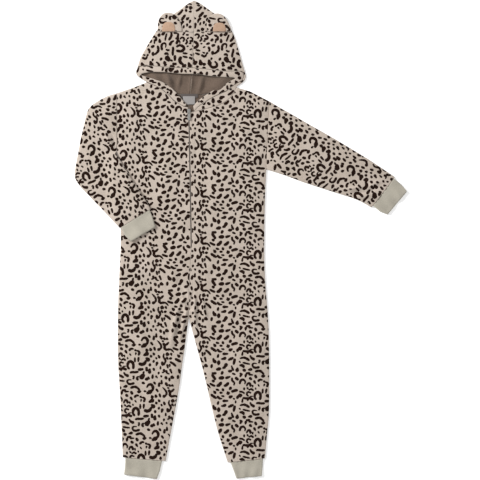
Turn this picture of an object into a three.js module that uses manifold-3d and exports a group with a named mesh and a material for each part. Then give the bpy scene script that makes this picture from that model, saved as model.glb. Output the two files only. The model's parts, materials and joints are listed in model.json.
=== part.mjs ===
import * as THREE from "three";
import initManifold from "manifold-3d";

// Hooded one-piece pajama lying flat on its back, in millimetres.
// X runs from the centre front to the wearer's left, Y from the ankle ends to the hood's tip,
// Z from the floor.

// Cloth and layers
const CLOTH = 2.0;
const RIB = 2.6;
const BAND = 2.8;
const SEAM = 0.4;
const LOW_EDGE = 2.6;
const BODY_LOFT = 3.0;
const HOOD_LOFT = 3.0;
const LOFT_REACH = 42;
const REST_GAP = 1.0;

// Zip
const ZIP_TOP = 1009;
const ZIP_END = 634;
const SLOT = 1.9;
const CHAIN_WIDTH = 3.0;
const CHAIN_THICK = 1.8;
const TAPE_WIDTH = 22;
const TAPE_THICK = 0.9;
const SLIDER = {
  width: 8.4, length: 11, plate: 1.9, stem: 2.9, barWide: 2, barThick: 1.3, window: 2.8, post: 1.4,
};
const TAB = { width: 6.4, length: 26, thick: 1.2, slotWide: 3.2, slotLong: 6.6, bar: 0.7 };

const COLOURS = {
  cloth: "#b9aa9b", reverse: "#8f8071", rib: "#b4b0a1", peach: "#cfa583",
  tape: "#8a8583", label: "#c9c7c4", metal: "#b9b9b6",
};

const rows = (columns, values) =>
  values.map((row) => Object.fromEntries(columns.map((name, i) => [name, row[i]])));
const LINE = ["at", "x", "y"];

// Outlines of the body, at is the share of the way along
const CENTRE = rows(LINE, [
  [0, -3, 1024], [0.36, 1, 816], [0.66, 4, 636], [0.8, 0, 557], [0.94, -3, 475], [1, -3, 440],
]);
const NECK_RIGHT = rows(LINE, [
  [0, -4, 1014], [0.07, -14, 1014.6], [0.2, -44, 1031.5], [0.33, -62, 1051.5], [0.47, -87, 1069.5],
  [0.61, -119, 1082], [0.74, -145, 1072], [0.86, -169, 1063], [1, -199, 1053],
]);
const NECK_LEFT = rows(LINE, [
  [0, 2, 1001], [0.05, 11, 1002], [0.13, 33, 1006.5], [0.22, 58, 1013.5], [0.3, 78, 1018.5],
  [0.38, 97, 1028.5],
  [0.46, 112, 1041.5], [0.52, 121, 1054.5], [0.58, 126, 1069], [0.76, 164, 1058], [1, 216, 1031],
]);
const SIDE_RIGHT = rows(LINE, [
  [0, -199, 1053], [0.16, -199, 890], [0.21, -197, 844], [0.31, -192, 748], [0.4, -188, 652],
  [0.46, -191, 592],
  [0.6, -197, 461], [0.73, -197, 325], [0.8, -192, 257], [0.89, -188, 175], [1, -183, 60],
]);
const SIDE_LEFT = rows(LINE, [
  [0, 216, 1031], [0.19, 208, 844], [0.29, 204, 748], [0.39, 203, 652], [0.46, 203, 584], [0.53, 207, 516],
  [0.6, 213, 448], [0.67, 216, 379], [0.78, 217, 270], [0.88, 216, 175], [0.94, 210, 120], [1, 205, 57],
]);
const INNER_RIGHT = rows(LINE, [
  [0, -3.4, 440], [0.08, -8, 407], [0.21, -14, 358], [0.34, -22, 308], [0.46, -28, 259], [0.63, -39, 194],
  [0.8, -52, 128], [1, -66, 50],
]);
const INNER_LEFT = rows(LINE, [
  [0, -2.6, 440], [0.08, 6, 407], [0.21, 19, 358], [0.33, 33, 308], [0.45, 45, 259], [0.62, 60, 194],
  [0.78, 76, 128], [1, 103, 46],
]);
const BACK_NECK_RIGHT = rows(LINE, [[0, 0, 1047], [0.3, -35, 1050], [0.7, -84, 1065], [1, -119, 1082]]);
const BACK_NECK_LEFT = rows(LINE, [[0, 0, 1047], [0.3, 37, 1049], [0.7, 88, 1059], [1, 126, 1069]]);

// Outlines of the hood
const HOOD_CENTRE = rows(LINE, [[0, 12, 1306], [0.34, 11, 1219], [0.72, 7, 1122], [1, 0, 1047]]);
const HOOD_SIDE_RIGHT = rows(LINE, [
  [0, -89, 1226], [0.1, -101, 1209], [0.32, -120, 1177], [0.54, -138, 1144], [0.64, -142, 1126],
  [0.76, -149, 1109], [0.85, -141, 1097], [1, -119, 1084],
]);
const HOOD_SIDE_LEFT = rows(LINE, [
  [0, 113, 1226], [0.1, 121, 1209], [0.3, 131, 1177], [0.5, 140, 1144], [0.66, 149, 1114],
  [0.76, 154, 1097], [0.87, 145, 1082], [1, 126, 1070.5],
]);
const CAP_RIGHT = rows(LINE, [
  [0, 12, 1306], [0.09, 0, 1301], [0.22, -14, 1291], [0.45, -40, 1272], [0.67, -66, 1254], [0.87, -86, 1239],
  [1, -89, 1226],
]);
const CAP_LEFT = rows(LINE, [
  [0, 12, 1306], [0.09, 23, 1301], [0.25, 41, 1289], [0.45, 64, 1272], [0.65, 87, 1257], [0.87, 109, 1240],
  [1, 113, 1226],
]);
const CROSS_SEAM = 1219;
const MOUTH_SEAM_RIGHT = rows(LINE, [[0, 7, 1122], [0.33, -42, 1122], [0.78, -109, 1128], [1, -141, 1126]]);
const MOUTH_SEAM_LEFT = rows(LINE, [
  [0, 7, 1122], [0.33, 55, 1117.4], [0.58, 90, 1112.5], [0.96, 143, 1113], [1, 149, 1114],
]);

// Hood edge band from the zip round the opening to the zip: mouth side ix iy, seam side ox oy
const BAND_ROWS = rows(["ix", "iy", "ox", "oy"], [
  [9, 1017, 11.5, 1004], [20, 1030, 23, 1017], [34, 1041, 40, 1028], [50, 1052, 60, 1041],
  [66, 1062, 84, 1052], [84, 1071, 100, 1059], [100, 1080, 110, 1067.5], [116, 1089, 121, 1076],
  [123, 1092, 140, 1086.5], [124, 1093.5, 147.5, 1098], [122, 1094.5, 142.5, 1112.2], [114, 1095, 118, 1112],
  [88, 1096, 90, 1111.6], [56, 1098.5, 55, 1116.6], [27, 1103, 30, 1119], [-3, 1104.5, 7, 1121.2],
  [-26, 1104.5, -42, 1121.2], [-60, 1109, -76, 1124], [-105, 1110, -109, 1127.2],
  [-131, 1105.5, -141, 1125.2],
  [-134, 1103, -148.4, 1109.5], [-129, 1100, -140.6, 1098], [-96, 1090.5, -118.6, 1083.6],
  [-74, 1083, -86.6, 1070.8], [-54, 1071, -61.4, 1052.6], [-35, 1052.5, -43.4, 1032.6],
  [-22, 1036, -27, 1022.6], [-9, 1023, -13.6, 1015.8],
]);
// Hood front's strip round the photographed corner of the mouth and along the neck seam
const STRIP_ROWS = rows(["ix", "iy", "ox", "oy"], [
  [143, 1113, 149, 1114], [148.6, 1098.4, 154, 1097], [141, 1085.8, 145, 1082], [122.4, 1075.6, 126, 1070.4],
  [110.8, 1066.6, 121, 1055.5], [100.6, 1057.8, 112, 1042.5], [84.6, 1050.8, 97, 1029.5],
  [60.6, 1039.8, 78, 1019.5],
  [40.4, 1026.9, 58, 1014.5], [23.4, 1016, 33, 1007.5], [12, 1003.8, 15, 1003.4],
]);

// Sleeves by stations: fold on the outer or upper side fx fy, fold on the inner or under side gx gy
const STATIONS = ["fx", "fy", "gx", "gy"];
const SLEEVE_RIGHT = rows(STATIONS, [
  [-199.6, 1053, -199.6, 891], [-227, 1045, -201, 890.6], [-254, 1030, -202.2, 890.1],
  [-276, 1014.5, -203.4, 889.3],
  [-284, 991, -204.3, 888.2], [-290, 962, -204.6, 886.6], [-298, 931, -203.4, 884], [-303, 902, -199, 879],
  [-309, 871, -189.5, 867.5], [-314, 845, -175, 848], [-315, 823, -160, 822], [-306, 806, -146, 800],
  [-288, 786, -134.5, 783.5], [-265, 762, -125, 768], [-238, 734.5, -117.5, 756], [-213, 708, -111, 745.5],
  [-190.6, 685, -106, 736.6],
]);
const SLEEVE_LEFT = rows(STATIONS, [
  [216.6, 1031, 208.6, 845], [254, 1008.5, 238, 836], [292, 987, 270, 825], [330, 965, 306, 811],
  [369, 943, 341, 800], [407, 921, 377, 788], [445, 898, 412, 777], [483, 875, 445, 767],
  [521, 850, 472, 755],
  [559, 824, 495, 741],
]);
const WRIST_RIGHT = rows(STATIONS, [
  [-187.0, 686.6, -109.1, 734.1], [-178, 666, -102, 716], [-160, 648, -93, 688],
]);
const WRIST_LEFT = rows(STATIONS, [[556.8, 820.4, 499.2, 745.7], [577, 803, 520, 729], [592, 785, 539, 722]]);
const ANKLE_RIGHT = rows(STATIONS, [[-176, 58.5, -76, 50.1], [-177, 35, -82, 23], [-180, 13, -90, 1]]);
const ANKLE_LEFT = rows(STATIONS, [[199, 55.6, 111, 46.1], [198, 32, 119, 24], [196, 9, 127, 2]]);

// Largest soft folds of the front: ridge or trough between two points
const FRONT_FOLDS = rows(["x1", "y1", "x2", "y2", "width", "rise"], [
  [-12, 470, -34, 360, 9, 0.9], [-22, 500, -52, 395, 11, -0.9], [10, 470, 38, 380, 10, 0.9],
  [-6, 520, -2, 450, 8, -0.8], [-60, 610, -30, 520, 16, 0.7], [64, 600, 30, 520, 16, 0.7],
  [-150, 460, -120, 300, 22, 0.7], [150, 430, 170, 260, 22, 0.7], [120, 900, 180, 980, 20, 0.6],
]);
const SLEEVE_LEFT_FOLDS = rows(["x1", "y1", "x2", "y2", "width", "rise"], [
  [428, 781, 482, 783, 9, -1.2], [482, 783, 531, 808, 9, -1.2], [300, 850, 400, 830, 16, 0.9],
]);
const SLEEVE_RIGHT_FOLDS = rows(["x1", "y1", "x2", "y2", "width", "rise"], [
  [-268, 989, -204, 893, 9, 2.2], [-240, 1000, -212, 930, 10, -1.0], [-290, 850, -230, 830, 14, 0.9],
]);

// Plan geometry
const mix = (a, b, t) => a + (b - a) * t;
const along = (line, at) => {
  const end = line.findIndex((row, i) => i > 0 && at <= row.at + 1e-9);
  const b = line[end < 0 ? line.length - 1 : end];
  const a = line[(end < 0 ? line.length - 1 : end) - 1];
  const t = (at - a.at) / (b.at - a.at);
  return [mix(a.x, b.x, t), mix(a.y, b.y, t)];
};
const widthAt = (line, y) => {
  const last = line.length - 1;
  let i = line.findIndex((row, k) => k > 0 && y >= row.y);
  if (i < 0) i = last;
  const t = Math.min(1, Math.max(0, (line[i - 1].y - y) / (line[i - 1].y - line[i].y)));
  return mix(line[i - 1].x, line[i].x, t);
};
const toSegment = (x, y, ax, ay, bx, by) => {
  const dx = bx - ax;
  const dy = by - ay;
  const t = Math.min(1, Math.max(0, ((x - ax) * dx + (y - ay) * dy) / (dx * dx + dy * dy)));
  return { distance: Math.hypot(x - ax - t * dx, y - ay - t * dy), t };
};
const toLine = (line, x, y) => {
  let nearest = Infinity;
  for (let i = 1; i < line.length; i += 1) {
    const { distance } = toSegment(x, y, line[i - 1].x, line[i - 1].y, line[i].x, line[i].y);
    nearest = Math.min(nearest, distance);
  }
  return nearest;
};
const smooth = (t) => {
  const s = Math.min(1, Math.max(0, t));
  return s * s * (3 - 2 * s);
};
const dome = (distance) => Math.sin((Math.min(1, distance / LOFT_REACH) * Math.PI) / 2);
const foldRise = (folds, x, y) =>
  folds.reduce((sum, f) => {
    const { distance, t } = toSegment(x, y, f.x1, f.y1, f.x2, f.y2);
    return sum + f.rise * Math.exp(-((distance / f.width) ** 2)) * Math.sin(Math.PI * mix(0.12, 0.88, t));
  }, 0);

// Underside heights of the upper layer
const shoulderOf = (neck, from) => neck.filter((row) => row.at >= from);
const SHOULDER_RIGHT = shoulderOf(NECK_RIGHT, 0.61);
const SHOULDER_LEFT = shoulderOf(NECK_LEFT, 0.58);
const bodyDistance = (x, y, side, inner, shoulder) =>
  Math.min(toLine(side, x, y), toLine(inner, x, y) + 4, toLine(shoulder, x, y));
const bodyUnder = (x, y) => {
  const right = x < widthAt(CENTRE, y);
  const lines = right ? [SIDE_RIGHT, INNER_RIGHT, SHOULDER_RIGHT] : [SIDE_LEFT, INNER_LEFT, SHOULDER_LEFT];
  const loft = dome(bodyDistance(x, y, ...lines));
  return LOW_EDGE + BODY_LOFT * loft + foldRise(FRONT_FOLDS, x, y) * loft;
};
const hoodUnder = (x, y) => {
  const edges = x < 10 ? [HOOD_SIDE_RIGHT, CAP_RIGHT] : [HOOD_SIDE_LEFT, CAP_LEFT];
  return LOW_EDGE + HOOD_LOFT * dome(Math.min(...edges.map((line) => toLine(line, x, y))));
};
const neckUnder = (x, y) => Math.min(hoodUnder(x, y), bodyUnder(x, y));

// Closed sheet from cells of points that each have a lower and an upper place
class Sheet {
  constructor() {
    this.low = [];
    this.high = [];
    this.cells = [];
    this.known = new Map();
  }

  point(low, high) {
    const key = [...low, ...high].map((v) => v.toFixed(3)).join(" ");
    if (!this.known.has(key)) {
      this.known.set(key, this.low.length);
      this.low.push(low);
      this.high.push(high);
    }
    return this.known.get(key);
  }

  grid(us, vs, place) {
    const ids = vs.map((v) => us.map((u) => this.point(...place(u, v))));
    for (let j = 1; j < vs.length; j += 1) {
      for (let i = 1; i < us.length; i += 1) {
        this.cells.push([ids[j - 1][i - 1], ids[j - 1][i], ids[j][i], ids[j][i - 1]]);
      }
    }
    return this;
  }

  solid() {
    const shift = this.low.length;
    const faces = [];
    const edges = new Map();
    for (const cell of this.cells) {
      const [a, b, c, d] = cell;
      faces.push([a + shift, b + shift, c + shift], [a + shift, c + shift, d + shift], [c, b, a], [d, c, a]);
      cell.forEach((from, i) => edges.set(`${from} ${cell[(i + 1) % 4]}`, [from, cell[(i + 1) % 4]]));
    }
    for (const [from, to] of edges.values()) {
      if (!edges.has(`${to} ${from}`)) faces.push([from, to, to + shift], [from, to + shift, from + shift]);
    }
    return closed([...this.low, ...this.high], faces);
  }
}

const closed = (points, faces) => {
  const volume = faces.reduce((sum, [a, b, c]) => {
    const [p, q, r] = [points[a], points[b], points[c]];
    const cross = [q[1] * r[2] - q[2] * r[1], q[2] * r[0] - q[0] * r[2], q[0] * r[1] - q[1] * r[0]];
    return sum + p[0] * cross[0] + p[1] * cross[1] + p[2] * cross[2];
  }, 0);
  const outward = volume > 0 ? faces : faces.map(([a, b, c]) => [a, c, b]);
  const geometry = new THREE.BufferGeometry();
  geometry.setAttribute("position", new THREE.Float32BufferAttribute(points.flat(), 3));
  geometry.setIndex(outward.flat());
  geometry.computeVertexNormals();
  return geometry;
};

// Plan patch between four curves
const patch = (top, bottom, left, right) => (u, v) => {
  const [t, b, l, r] = [top(u), bottom(u), left(v), right(v)];
  const corners = [top(0), top(1), bottom(0), bottom(1)];
  return [0, 1].map((k) =>
    mix(t[k], b[k], v) + mix(l[k], r[k], u)
    - mix(mix(corners[0][k], corners[1][k], u), mix(corners[2][k], corners[3][k], u), v));
};
const steps = (count, from = 0, to = 1) => (
  Array.from({ length: count + 1 }, (_, i) => mix(from, to, i / count))
);
const knots = (line) => line.map((row) => row.at);
const nearEdges = (values, near) => [values[0], near, ...values.slice(1, -1), 1 - near, values.at(-1)];
const layer = (plan, under, thick) => (u, v) => {
  const [x, y] = plan(u, v);
  const z = under(x, y);
  return [[x, y, z], [x, y, z + thick]];
};

// Body panels
const centreEdge = (y, side, slot) => {
  const open = slot ? mix(0.2, SLOT, smooth((y - ZIP_END + 8) / 16)) : 0.2;
  return widthAt(CENTRE, y) + side * open;
};
const bodyPlan = (side, neck, outer, inner, slot) => {
  const top = neck[0].y;
  const crotch = inner[0].y;
  const start = { ...neck[0], x: centreEdge(top, side, slot) };
  const edge = [start, ...neck.slice(1)];
  const inseam = Math.hypot(inner.at(-1).x - inner[0].x, inner.at(-1).y - crotch);
  const share = (top - crotch) / (top - crotch + inseam);
  const centre = (v) => {
    if (v > share) return along(inner, (v - share) / (1 - share));
    const y = mix(top, crotch, v / share);
    return [centreEdge(y, side, slot), y];
  };
  const hem = (u) => [mix(inner.at(-1).x, outer.at(-1).x, u), mix(inner.at(-1).y, outer.at(-1).y, u)];
  const shareOf = (y) => ((top - y) / (top - crotch)) * share;
  return { plan: patch((u) => along(edge, u), hem, centre, (v) => along(outer, v)), share, shareOf };
};
const frontPanel = (side, neck, outer, inner) => {
  const { plan, share, shareOf } = bodyPlan(side, neck, outer, inner, true);
  const [open, shut] = [shareOf(ZIP_END + 8), shareOf(ZIP_END - 8)];
  const vs = [...steps(12, 0, open), ...steps(6, shut, share), ...steps(12, share, 1).slice(1)];
  return new Sheet().grid(nearEdges(knots(neck), 0.025), vs, layer(plan, bodyUnder, CLOTH)).solid();
};
const backPanel = (side, neckline, shoulder, outer, inner) => {
  const turn = 0.6;
  const from = shoulder[0].at;
  const neck = [
    ...neckline.map((row) => ({ ...row, at: row.at * turn })),
    ...shoulder.slice(1).map((row) => ({ ...row, at: mix(turn, 1, (row.at - from) / (1 - from)) })),
  ];
  const { plan, share } = bodyPlan(side, neck, outer, inner, false);
  const vs = [...steps(12, 0, share), ...steps(9, share, 1).slice(1)];
  return new Sheet().grid(knots(neck), vs, layer(plan, () => 0, CLOTH)).solid();
};

// Hood panels
const seamShift = (side) => side * 0.2;
const hoodFront = (side, outer, mouth) => {
  const centre = (v) => [mix(11, 7, v) + seamShift(side), mix(CROSS_SEAM - SEAM, 1122, v)];
  const edge = outer.filter((row) => row.y < CROSS_SEAM - 5 && row.y >= mouth.at(-1).y);
  const lineOf = [
    { x: mix(outer[0].x, edge[0].x, 0.5), y: CROSS_SEAM - SEAM },
    ...edge.filter((r) => r.y > mouth.at(-1).y + 1),
  ];
  const right = [...lineOf, { x: mouth.at(-1).x, y: mouth.at(-1).y }];
  const side4 = right.map((row, i) => ({ ...row, at: i / (right.length - 1) }));
  const top = (u) => [mix(11 + seamShift(side), right[0].x, u), CROSS_SEAM - SEAM];
  const bottom = (u) => {
    const [x, y] = along(mouth, u);
    return [u === 0 ? 7 + seamShift(side) : x, y];
  };
  return layer(patch(top, bottom, centre, (v) => along(side4, v)), hoodUnder, CLOTH);
};
const hoodFrontRight = () =>
  new Sheet()
    .grid(
      nearEdges([0, 0.16, 0.33, 0.55, 0.78, 1], 0.04),
      steps(8),
      hoodFront(-1, HOOD_SIDE_RIGHT, MOUTH_SEAM_RIGHT),
    )
    .solid();
const hoodFrontLeft = () => {
  const main = hoodFront(1, HOOD_SIDE_LEFT, MOUTH_SEAM_LEFT);
  const sheet = new Sheet().grid([0, 0.04, 0.16, 0.33, 0.58, 0.8, 0.96, 1], steps(8), main);
  const ends = [main(0.96, 1), main(1, 1)];
  const strip = (u, v) => {
    if (v === 0) return ends[u];
    const row = STRIP_ROWS[v];
    const [x, y] = [mix(row.ix, row.ox, u), mix(row.iy, row.oy, u)];
    const z = neckUnder(x, y);
    return [[x, y, z], [x, y, z + CLOTH]];
  };
  return sheet.grid([0, 1], STRIP_ROWS.map((_, i) => i), strip).solid();
};
const hoodBack = (side, outer, cap, neckline) => {
  const shift = seamShift(side);
  const centre = (v) => along(HOOD_CENTRE, 1 - v);
  const neck = (u) => along(neckline, u);
  const flat = patch((u) => neck(u), (u) => along(cap, u), centre, (v) => along(outer, 1 - v));
  const inset = (u, drop) => {
    const [x, y] = along(cap, u);
    return [x, y - drop];
  };
  const crossX = (u) => mix(11, along(cap, 1)[0], u);
  const place = (u, v) => {
    const nudge = u === 0 ? shift : 0;
    if (v <= 1) {
      const [x, y] = flat(u, v * 0.96);
      const lift = v === 0 ? SEAM : 0;
      return [[x + nudge, y + lift, 0], [x + nudge, y + lift, CLOTH]];
    }
    const [ex, ey] = inset(u, 0);
    if (v === 2) return [[ex + nudge, ey - 2, 0.3], [ex + nudge, ey - 4.4, CLOTH]];
    if (v === 3) return [[ex + nudge, ey, CLOTH + 0.3], [ex + nudge, ey - CLOTH - 0.6, CLOTH + 0.3]];
    const t = (v - 4) / 6;
    const x = mix(ex, crossX(u), t) + nudge;
    const y = mix(ey - 2.4, CROSS_SEAM + SEAM * 0.5, t);
    const z = hoodUnder(x, y);
    return [[x, y, z + CLOTH], [x, y - (v === 4 ? 1.6 : 0), z]];
  };
  return new Sheet().grid(knots(cap), [...steps(8), 2, 3, 4, 5, 6, 7, 8, 9, 10], place).solid();
};
const hoodBand = () =>
  new Sheet().grid([0, 0.5, 1], BAND_ROWS.map((_, i) => i), (u, i) => {
    const row = BAND_ROWS[i];
    const [x, y] = [mix(row.ix, row.ox, u), mix(row.iy, row.oy, u)];
    const z = neckUnder(x, y);
    return [[x, y, z], [x, y, z + BAND]];
  }).solid();

// Ears, half ovals on the crown with their base on the cross seam
const halfOval = ({ x, wide, tall, lean }, under, thick) => {
  const base = CROSS_SEAM + SEAM + 0.6;
  const arc = (from, to) => (t) => {
    const a = (mix(from, to, t) * Math.PI) / 180;
    const rise = tall * Math.sin(a);
    return [x + wide * 0.5 * Math.cos(a) + (lean * rise) / tall, base + rise];
  };
  const foot = (u) => [mix(x - wide / 2, x + wide / 2, u), base];
  const plan = patch(arc(128, 52), foot, arc(128, 180), arc(52, 0));
  return new Sheet().grid(steps(8), steps(7), layer(plan, under, thick)).solid();
};
const EARS = rows(["side", "x", "wide", "tall", "lean"], [
  ["right", -54, 67, 52, -5], ["left", 79, 65, 50, -6],
]);
const INNER_EARS = rows(["side", "x", "wide", "tall", "lean"], [
  ["right", -58, 36, 26, 0], ["left", 80.5, 35, 24, 0],
]);
const EAR_THICK = 2.6;
const INNER_THICK = 1.2;
const onHood = (rise) => (x, y) => hoodUnder(x, y) + CLOTH + rise;

// Tubes from stations, each a flattened ring with the cloth's own wall
const tube = (stations, { wall, height, loft, base, folds = [], across = 9 }) => {
  const shares = nearEdges(steps(across), 0.028);
  const last = shares.length - 1;
  const ring = (station, inner) => {
    const width = Math.hypot(station.gx - station.fx, station.gy - station.fy);
    const place = (i, top) => {
      const inset = inner && (i === 0 || i === last) ? (i ? -1 : 1) * (wall / width) : 0;
      const s = shares[i] + inset;
      const [x, y] = [mix(station.fx, station.gx, s), mix(station.fy, station.gy, s)];
      const low = base(x, y);
      const rise = foldRise(folds, x, y) * smooth(Math.min(s, 1 - s) * 12);
      const loftHere = loft * dome(Math.min(s, 1 - s) * width) + rise;
      const edge = i === 0 || i === last;
      const round = edge && !inner ? 1.1 : 0;
      const skin = inner ? wall : 0;
      return [x, y, top ? low + height + loftHere - skin - round : low + skin + round];
    };
    return [...shares.map((_, i) => place(i, false)), ...shares.map((_, i) => place(last - i, true))];
  };
  const count = shares.length * 2;
  const points = [false, true].flatMap((inner) => stations.flatMap((station) => ring(station, inner)));
  const faces = [];
  const quad = (a, b, c, d) => faces.push([a, b, c], [a, c, d]);
  const half = stations.length * count;
  for (let k = 0; k < stations.length - 1; k += 1) {
    for (let i = 0; i < count; i += 1) {
      const next = (i + 1) % count;
      const [a, b, c, d] = [k * count + i, k * count + next, (k + 1) * count + next, (k + 1) * count + i];
      quad(a, b, c, d);
      quad(half + d, half + c, half + b, half + a);
    }
  }
  for (let i = 0; i < count; i += 1) {
    const next = (i + 1) % count;
    const end = half - count;
    quad(half + i, half + next, next, i);
    quad(end + i, end + next, half + end + next, half + end + i);
  }
  return closed(points, faces);
};
const onFloor = () => 0;
const onBody = (x, y) => {
  const outside = widthAt(SIDE_RIGHT, y) - x;
  const reach = smooth((897 - y) / 12);
  if (outside <= 0) return (bodyUnder(x, y) + CLOTH + REST_GAP) * reach;
  return (LOW_EDGE + CLOTH + REST_GAP) * reach * (1 - smooth((outside - 6) / 34));
};

// Zip
const zipStrip = (width, from, to, under, thick) =>
  new Sheet().grid([-0.5, 0.5], steps(14), (u, v) => {
    const y = mix(from, to, v);
    const x = widthAt(CENTRE, y) + u * width;
    const z = under(widthAt(CENTRE, y), y);
    return [[x, y, z], [x, y, z + thick]];
  }).solid();
const tapeUnder = (x, y) => bodyUnder(x, y) - SEAM - TAPE_THICK;
const chainUnder = (x, y) => bodyUnder(x, y) - SEAM + 0.35;
const SLIDER_Y = ZIP_TOP - SLIDER.length / 2;
const FRONT_TOP = LOW_EDGE + BODY_LOFT + CLOTH;

const { Manifold, Mesh } = await initManifold().then((kit) => {
  kit.setup();
  return kit;
});
const box = (wide, long, tall, x, y, z) =>
  Manifold.cube([wide, long, tall], true).translate([x, y, z + tall / 2]);
const toGeometry = (manifold) => {
  const mesh = manifold.getMesh();
  const points = [];
  for (let i = 0; i < mesh.numVert; i += 1) {
    points.push([...mesh.vertProperties.slice(i * mesh.numProp, i * mesh.numProp + 3)]);
  }
  const faces = [];
  for (let i = 0; i < mesh.numTri; i += 1) faces.push([...mesh.triVerts.slice(i * 3, i * 3 + 3)]);
  return closed(points, faces);
};
const sliderSolid = () => {
  const s = SLIDER;
  const plateZ = FRONT_TOP + SEAM;
  const barZ = plateZ + s.plate + s.window;
  const reach = s.length / 2 - s.post / 2 - 0.4;
  return toGeometry(Manifold.union([
    box(s.width, s.length, s.plate, 0, 0, plateZ),
    box(s.stem, s.length - 1, FRONT_TOP + SEAM - 5.9 + 0.2, 0, 0, 5.9),
    box(s.barWide, s.length - 0.8, s.barThick, 0, 0, barZ),
    ...[-1, 1].map((end) => box(s.barWide, s.post, s.window + 0.4, 0, end * reach, plateZ + s.plate - 0.2)),
  ]));
};
const HINGE_Z = FRONT_TOP + SEAM + SLIDER.plate + SLIDER.window / 2;
const tabSolid = () => {
  const t = TAB;
  const plate = box(t.width, t.length, t.thick, 0, -t.length / 2 + t.bar, -t.thick / 2);
  const slot = box(t.slotWide, t.slotLong, 4, 0, -t.bar - t.slotLong / 2, -2);
  const tip = Manifold.cylinder(4, t.width, t.width, 24, true).translate([0, -t.length + t.bar + t.width, 0]);
  const rest = box(t.width + 2, t.length - t.width, 4, 0, (-t.length + t.width) / 2 + t.bar, -2);
  return toGeometry(plate.intersect(tip.add(rest)).subtract(slot));
};

// Assembly
const MATERIALS = {
  cloth: [COLOURS.cloth, 0.92, 0], reverse: [COLOURS.reverse, 0.95, 0], rib: [COLOURS.rib, 0.92, 0],
  peach: [COLOURS.peach, 0.9, 0], tape: [COLOURS.tape, 0.85, 0], label: [COLOURS.label, 0.45, 0],
  metal: [COLOURS.metal, 0.35, 0.9],
};
const piece = (name, kind, geometry) => {
  const [color, roughness, metalness] = MATERIALS[kind];
  const mesh = new THREE.Mesh(geometry, new THREE.MeshStandardMaterial({ color, roughness, metalness }));
  mesh.name = name;
  return mesh;
};

const garment = new THREE.Group();
garment.name = "hooded_onesie";
const sleeveCloth = { wall: CLOTH, height: 5.4, loft: 2.4 };
const ribCloth = { wall: RIB, height: 6.4, loft: 0.8, across: 7 };
garment.add(
  piece("back_right", "cloth", backPanel(-1, BACK_NECK_RIGHT, SHOULDER_RIGHT, SIDE_RIGHT, INNER_RIGHT)),
  piece("back_left", "cloth", backPanel(1, BACK_NECK_LEFT, SHOULDER_LEFT, SIDE_LEFT, INNER_LEFT)),
  piece("front_right", "cloth", frontPanel(-1, NECK_RIGHT, SIDE_RIGHT, INNER_RIGHT)),
  piece("front_left", "cloth", frontPanel(1, NECK_LEFT, SIDE_LEFT, INNER_LEFT)),
  piece("sleeve_right", "cloth", tube(SLEEVE_RIGHT, {
    ...sleeveCloth, base: onBody, folds: SLEEVE_RIGHT_FOLDS,
  })),
  piece("sleeve_left", "cloth", tube(SLEEVE_LEFT, {
    ...sleeveCloth, base: onFloor, folds: SLEEVE_LEFT_FOLDS,
  })),
  piece("wrist_cuff_right", "rib", tube(WRIST_RIGHT, { ...ribCloth, base: onBody })),
  piece("wrist_cuff_left", "rib", tube(WRIST_LEFT, { ...ribCloth, base: onFloor })),
  piece("ankle_cuff_right", "rib", tube(ANKLE_RIGHT, { ...ribCloth, base: onFloor })),
  piece("ankle_cuff_left", "rib", tube(ANKLE_LEFT, { ...ribCloth, base: onFloor })),
  piece("hood_back_right", "reverse", hoodBack(-1, HOOD_SIDE_RIGHT, CAP_RIGHT, BACK_NECK_RIGHT)),
  piece("hood_back_left", "reverse", hoodBack(1, HOOD_SIDE_LEFT, CAP_LEFT, BACK_NECK_LEFT)),
  piece("hood_front_right", "cloth", hoodFrontRight()),
  piece("hood_front_left", "cloth", hoodFrontLeft()),
  piece("hood_band", "cloth", hoodBand()),
  ...EARS.map((ear) => piece(`ear_${ear.side}`, "cloth", halfOval(ear, onHood(0.6), EAR_THICK))),
  ...INNER_EARS.map((ear) => (
    piece(`ear_inner_${ear.side}`, "peach", halfOval(ear, onHood(1.1 + EAR_THICK), INNER_THICK))
  )),
  piece("neck_tape", "tape", new Sheet()
    .grid([-25, -1.5, 22], [1051, 1040], (x, y) => [[x, y, CLOTH + 0.35], [x, y, CLOTH + 1.15]])
    .solid()),
  piece("neck_label", "label", new Sheet()
    .grid([-19, -2.5, 14], [1039.6, 1022], (x, y) => [[x, y, CLOTH + 0.35], [x, y, CLOTH + 0.95]])
    .solid()),
  piece("zip_tape", "tape", zipStrip(TAPE_WIDTH, ZIP_TOP - 11.6, ZIP_END - 4, tapeUnder, TAPE_THICK)),
  piece("zip_chain", "tape", zipStrip(CHAIN_WIDTH, ZIP_TOP - 11.6, ZIP_END + 8, chainUnder, CHAIN_THICK)),
);
const zipX = widthAt(CENTRE, SLIDER_Y);
const slider = piece("zip_slider", "metal", sliderSolid());
slider.position.set(zipX, SLIDER_Y, 0);
const tab = piece("pull_tab", "metal", tabSolid());
tab.position.set(zipX, SLIDER_Y, HINGE_Z);
garment.add(slider, tab);

const size = new THREE.Box3().setFromObject(garment);
garment.position.set(-(size.min.x + size.max.x) / 2, -(size.min.y + size.max.y) / 2, -size.min.z);
const root = new THREE.Group();
root.add(garment);

export default root;
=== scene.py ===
"""Hooded one-piece pajama in animal print, laid flat, as a Blender 4.5 scene.

Every cloth is a thin closed shell. Its sizes are in millimetres in the garment's own plan: X from the
centre front towards the wearer's left, Y from the ankle ends to the hood's tip, Z up from the floor.
"""

import json
import logging
import math
from collections.abc import Callable, Sequence
from dataclasses import dataclass
from enum import Enum

import bmesh
import bpy
import numpy as np
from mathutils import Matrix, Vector
from mathutils.geometry import delaunay_2d_cdt


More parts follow.
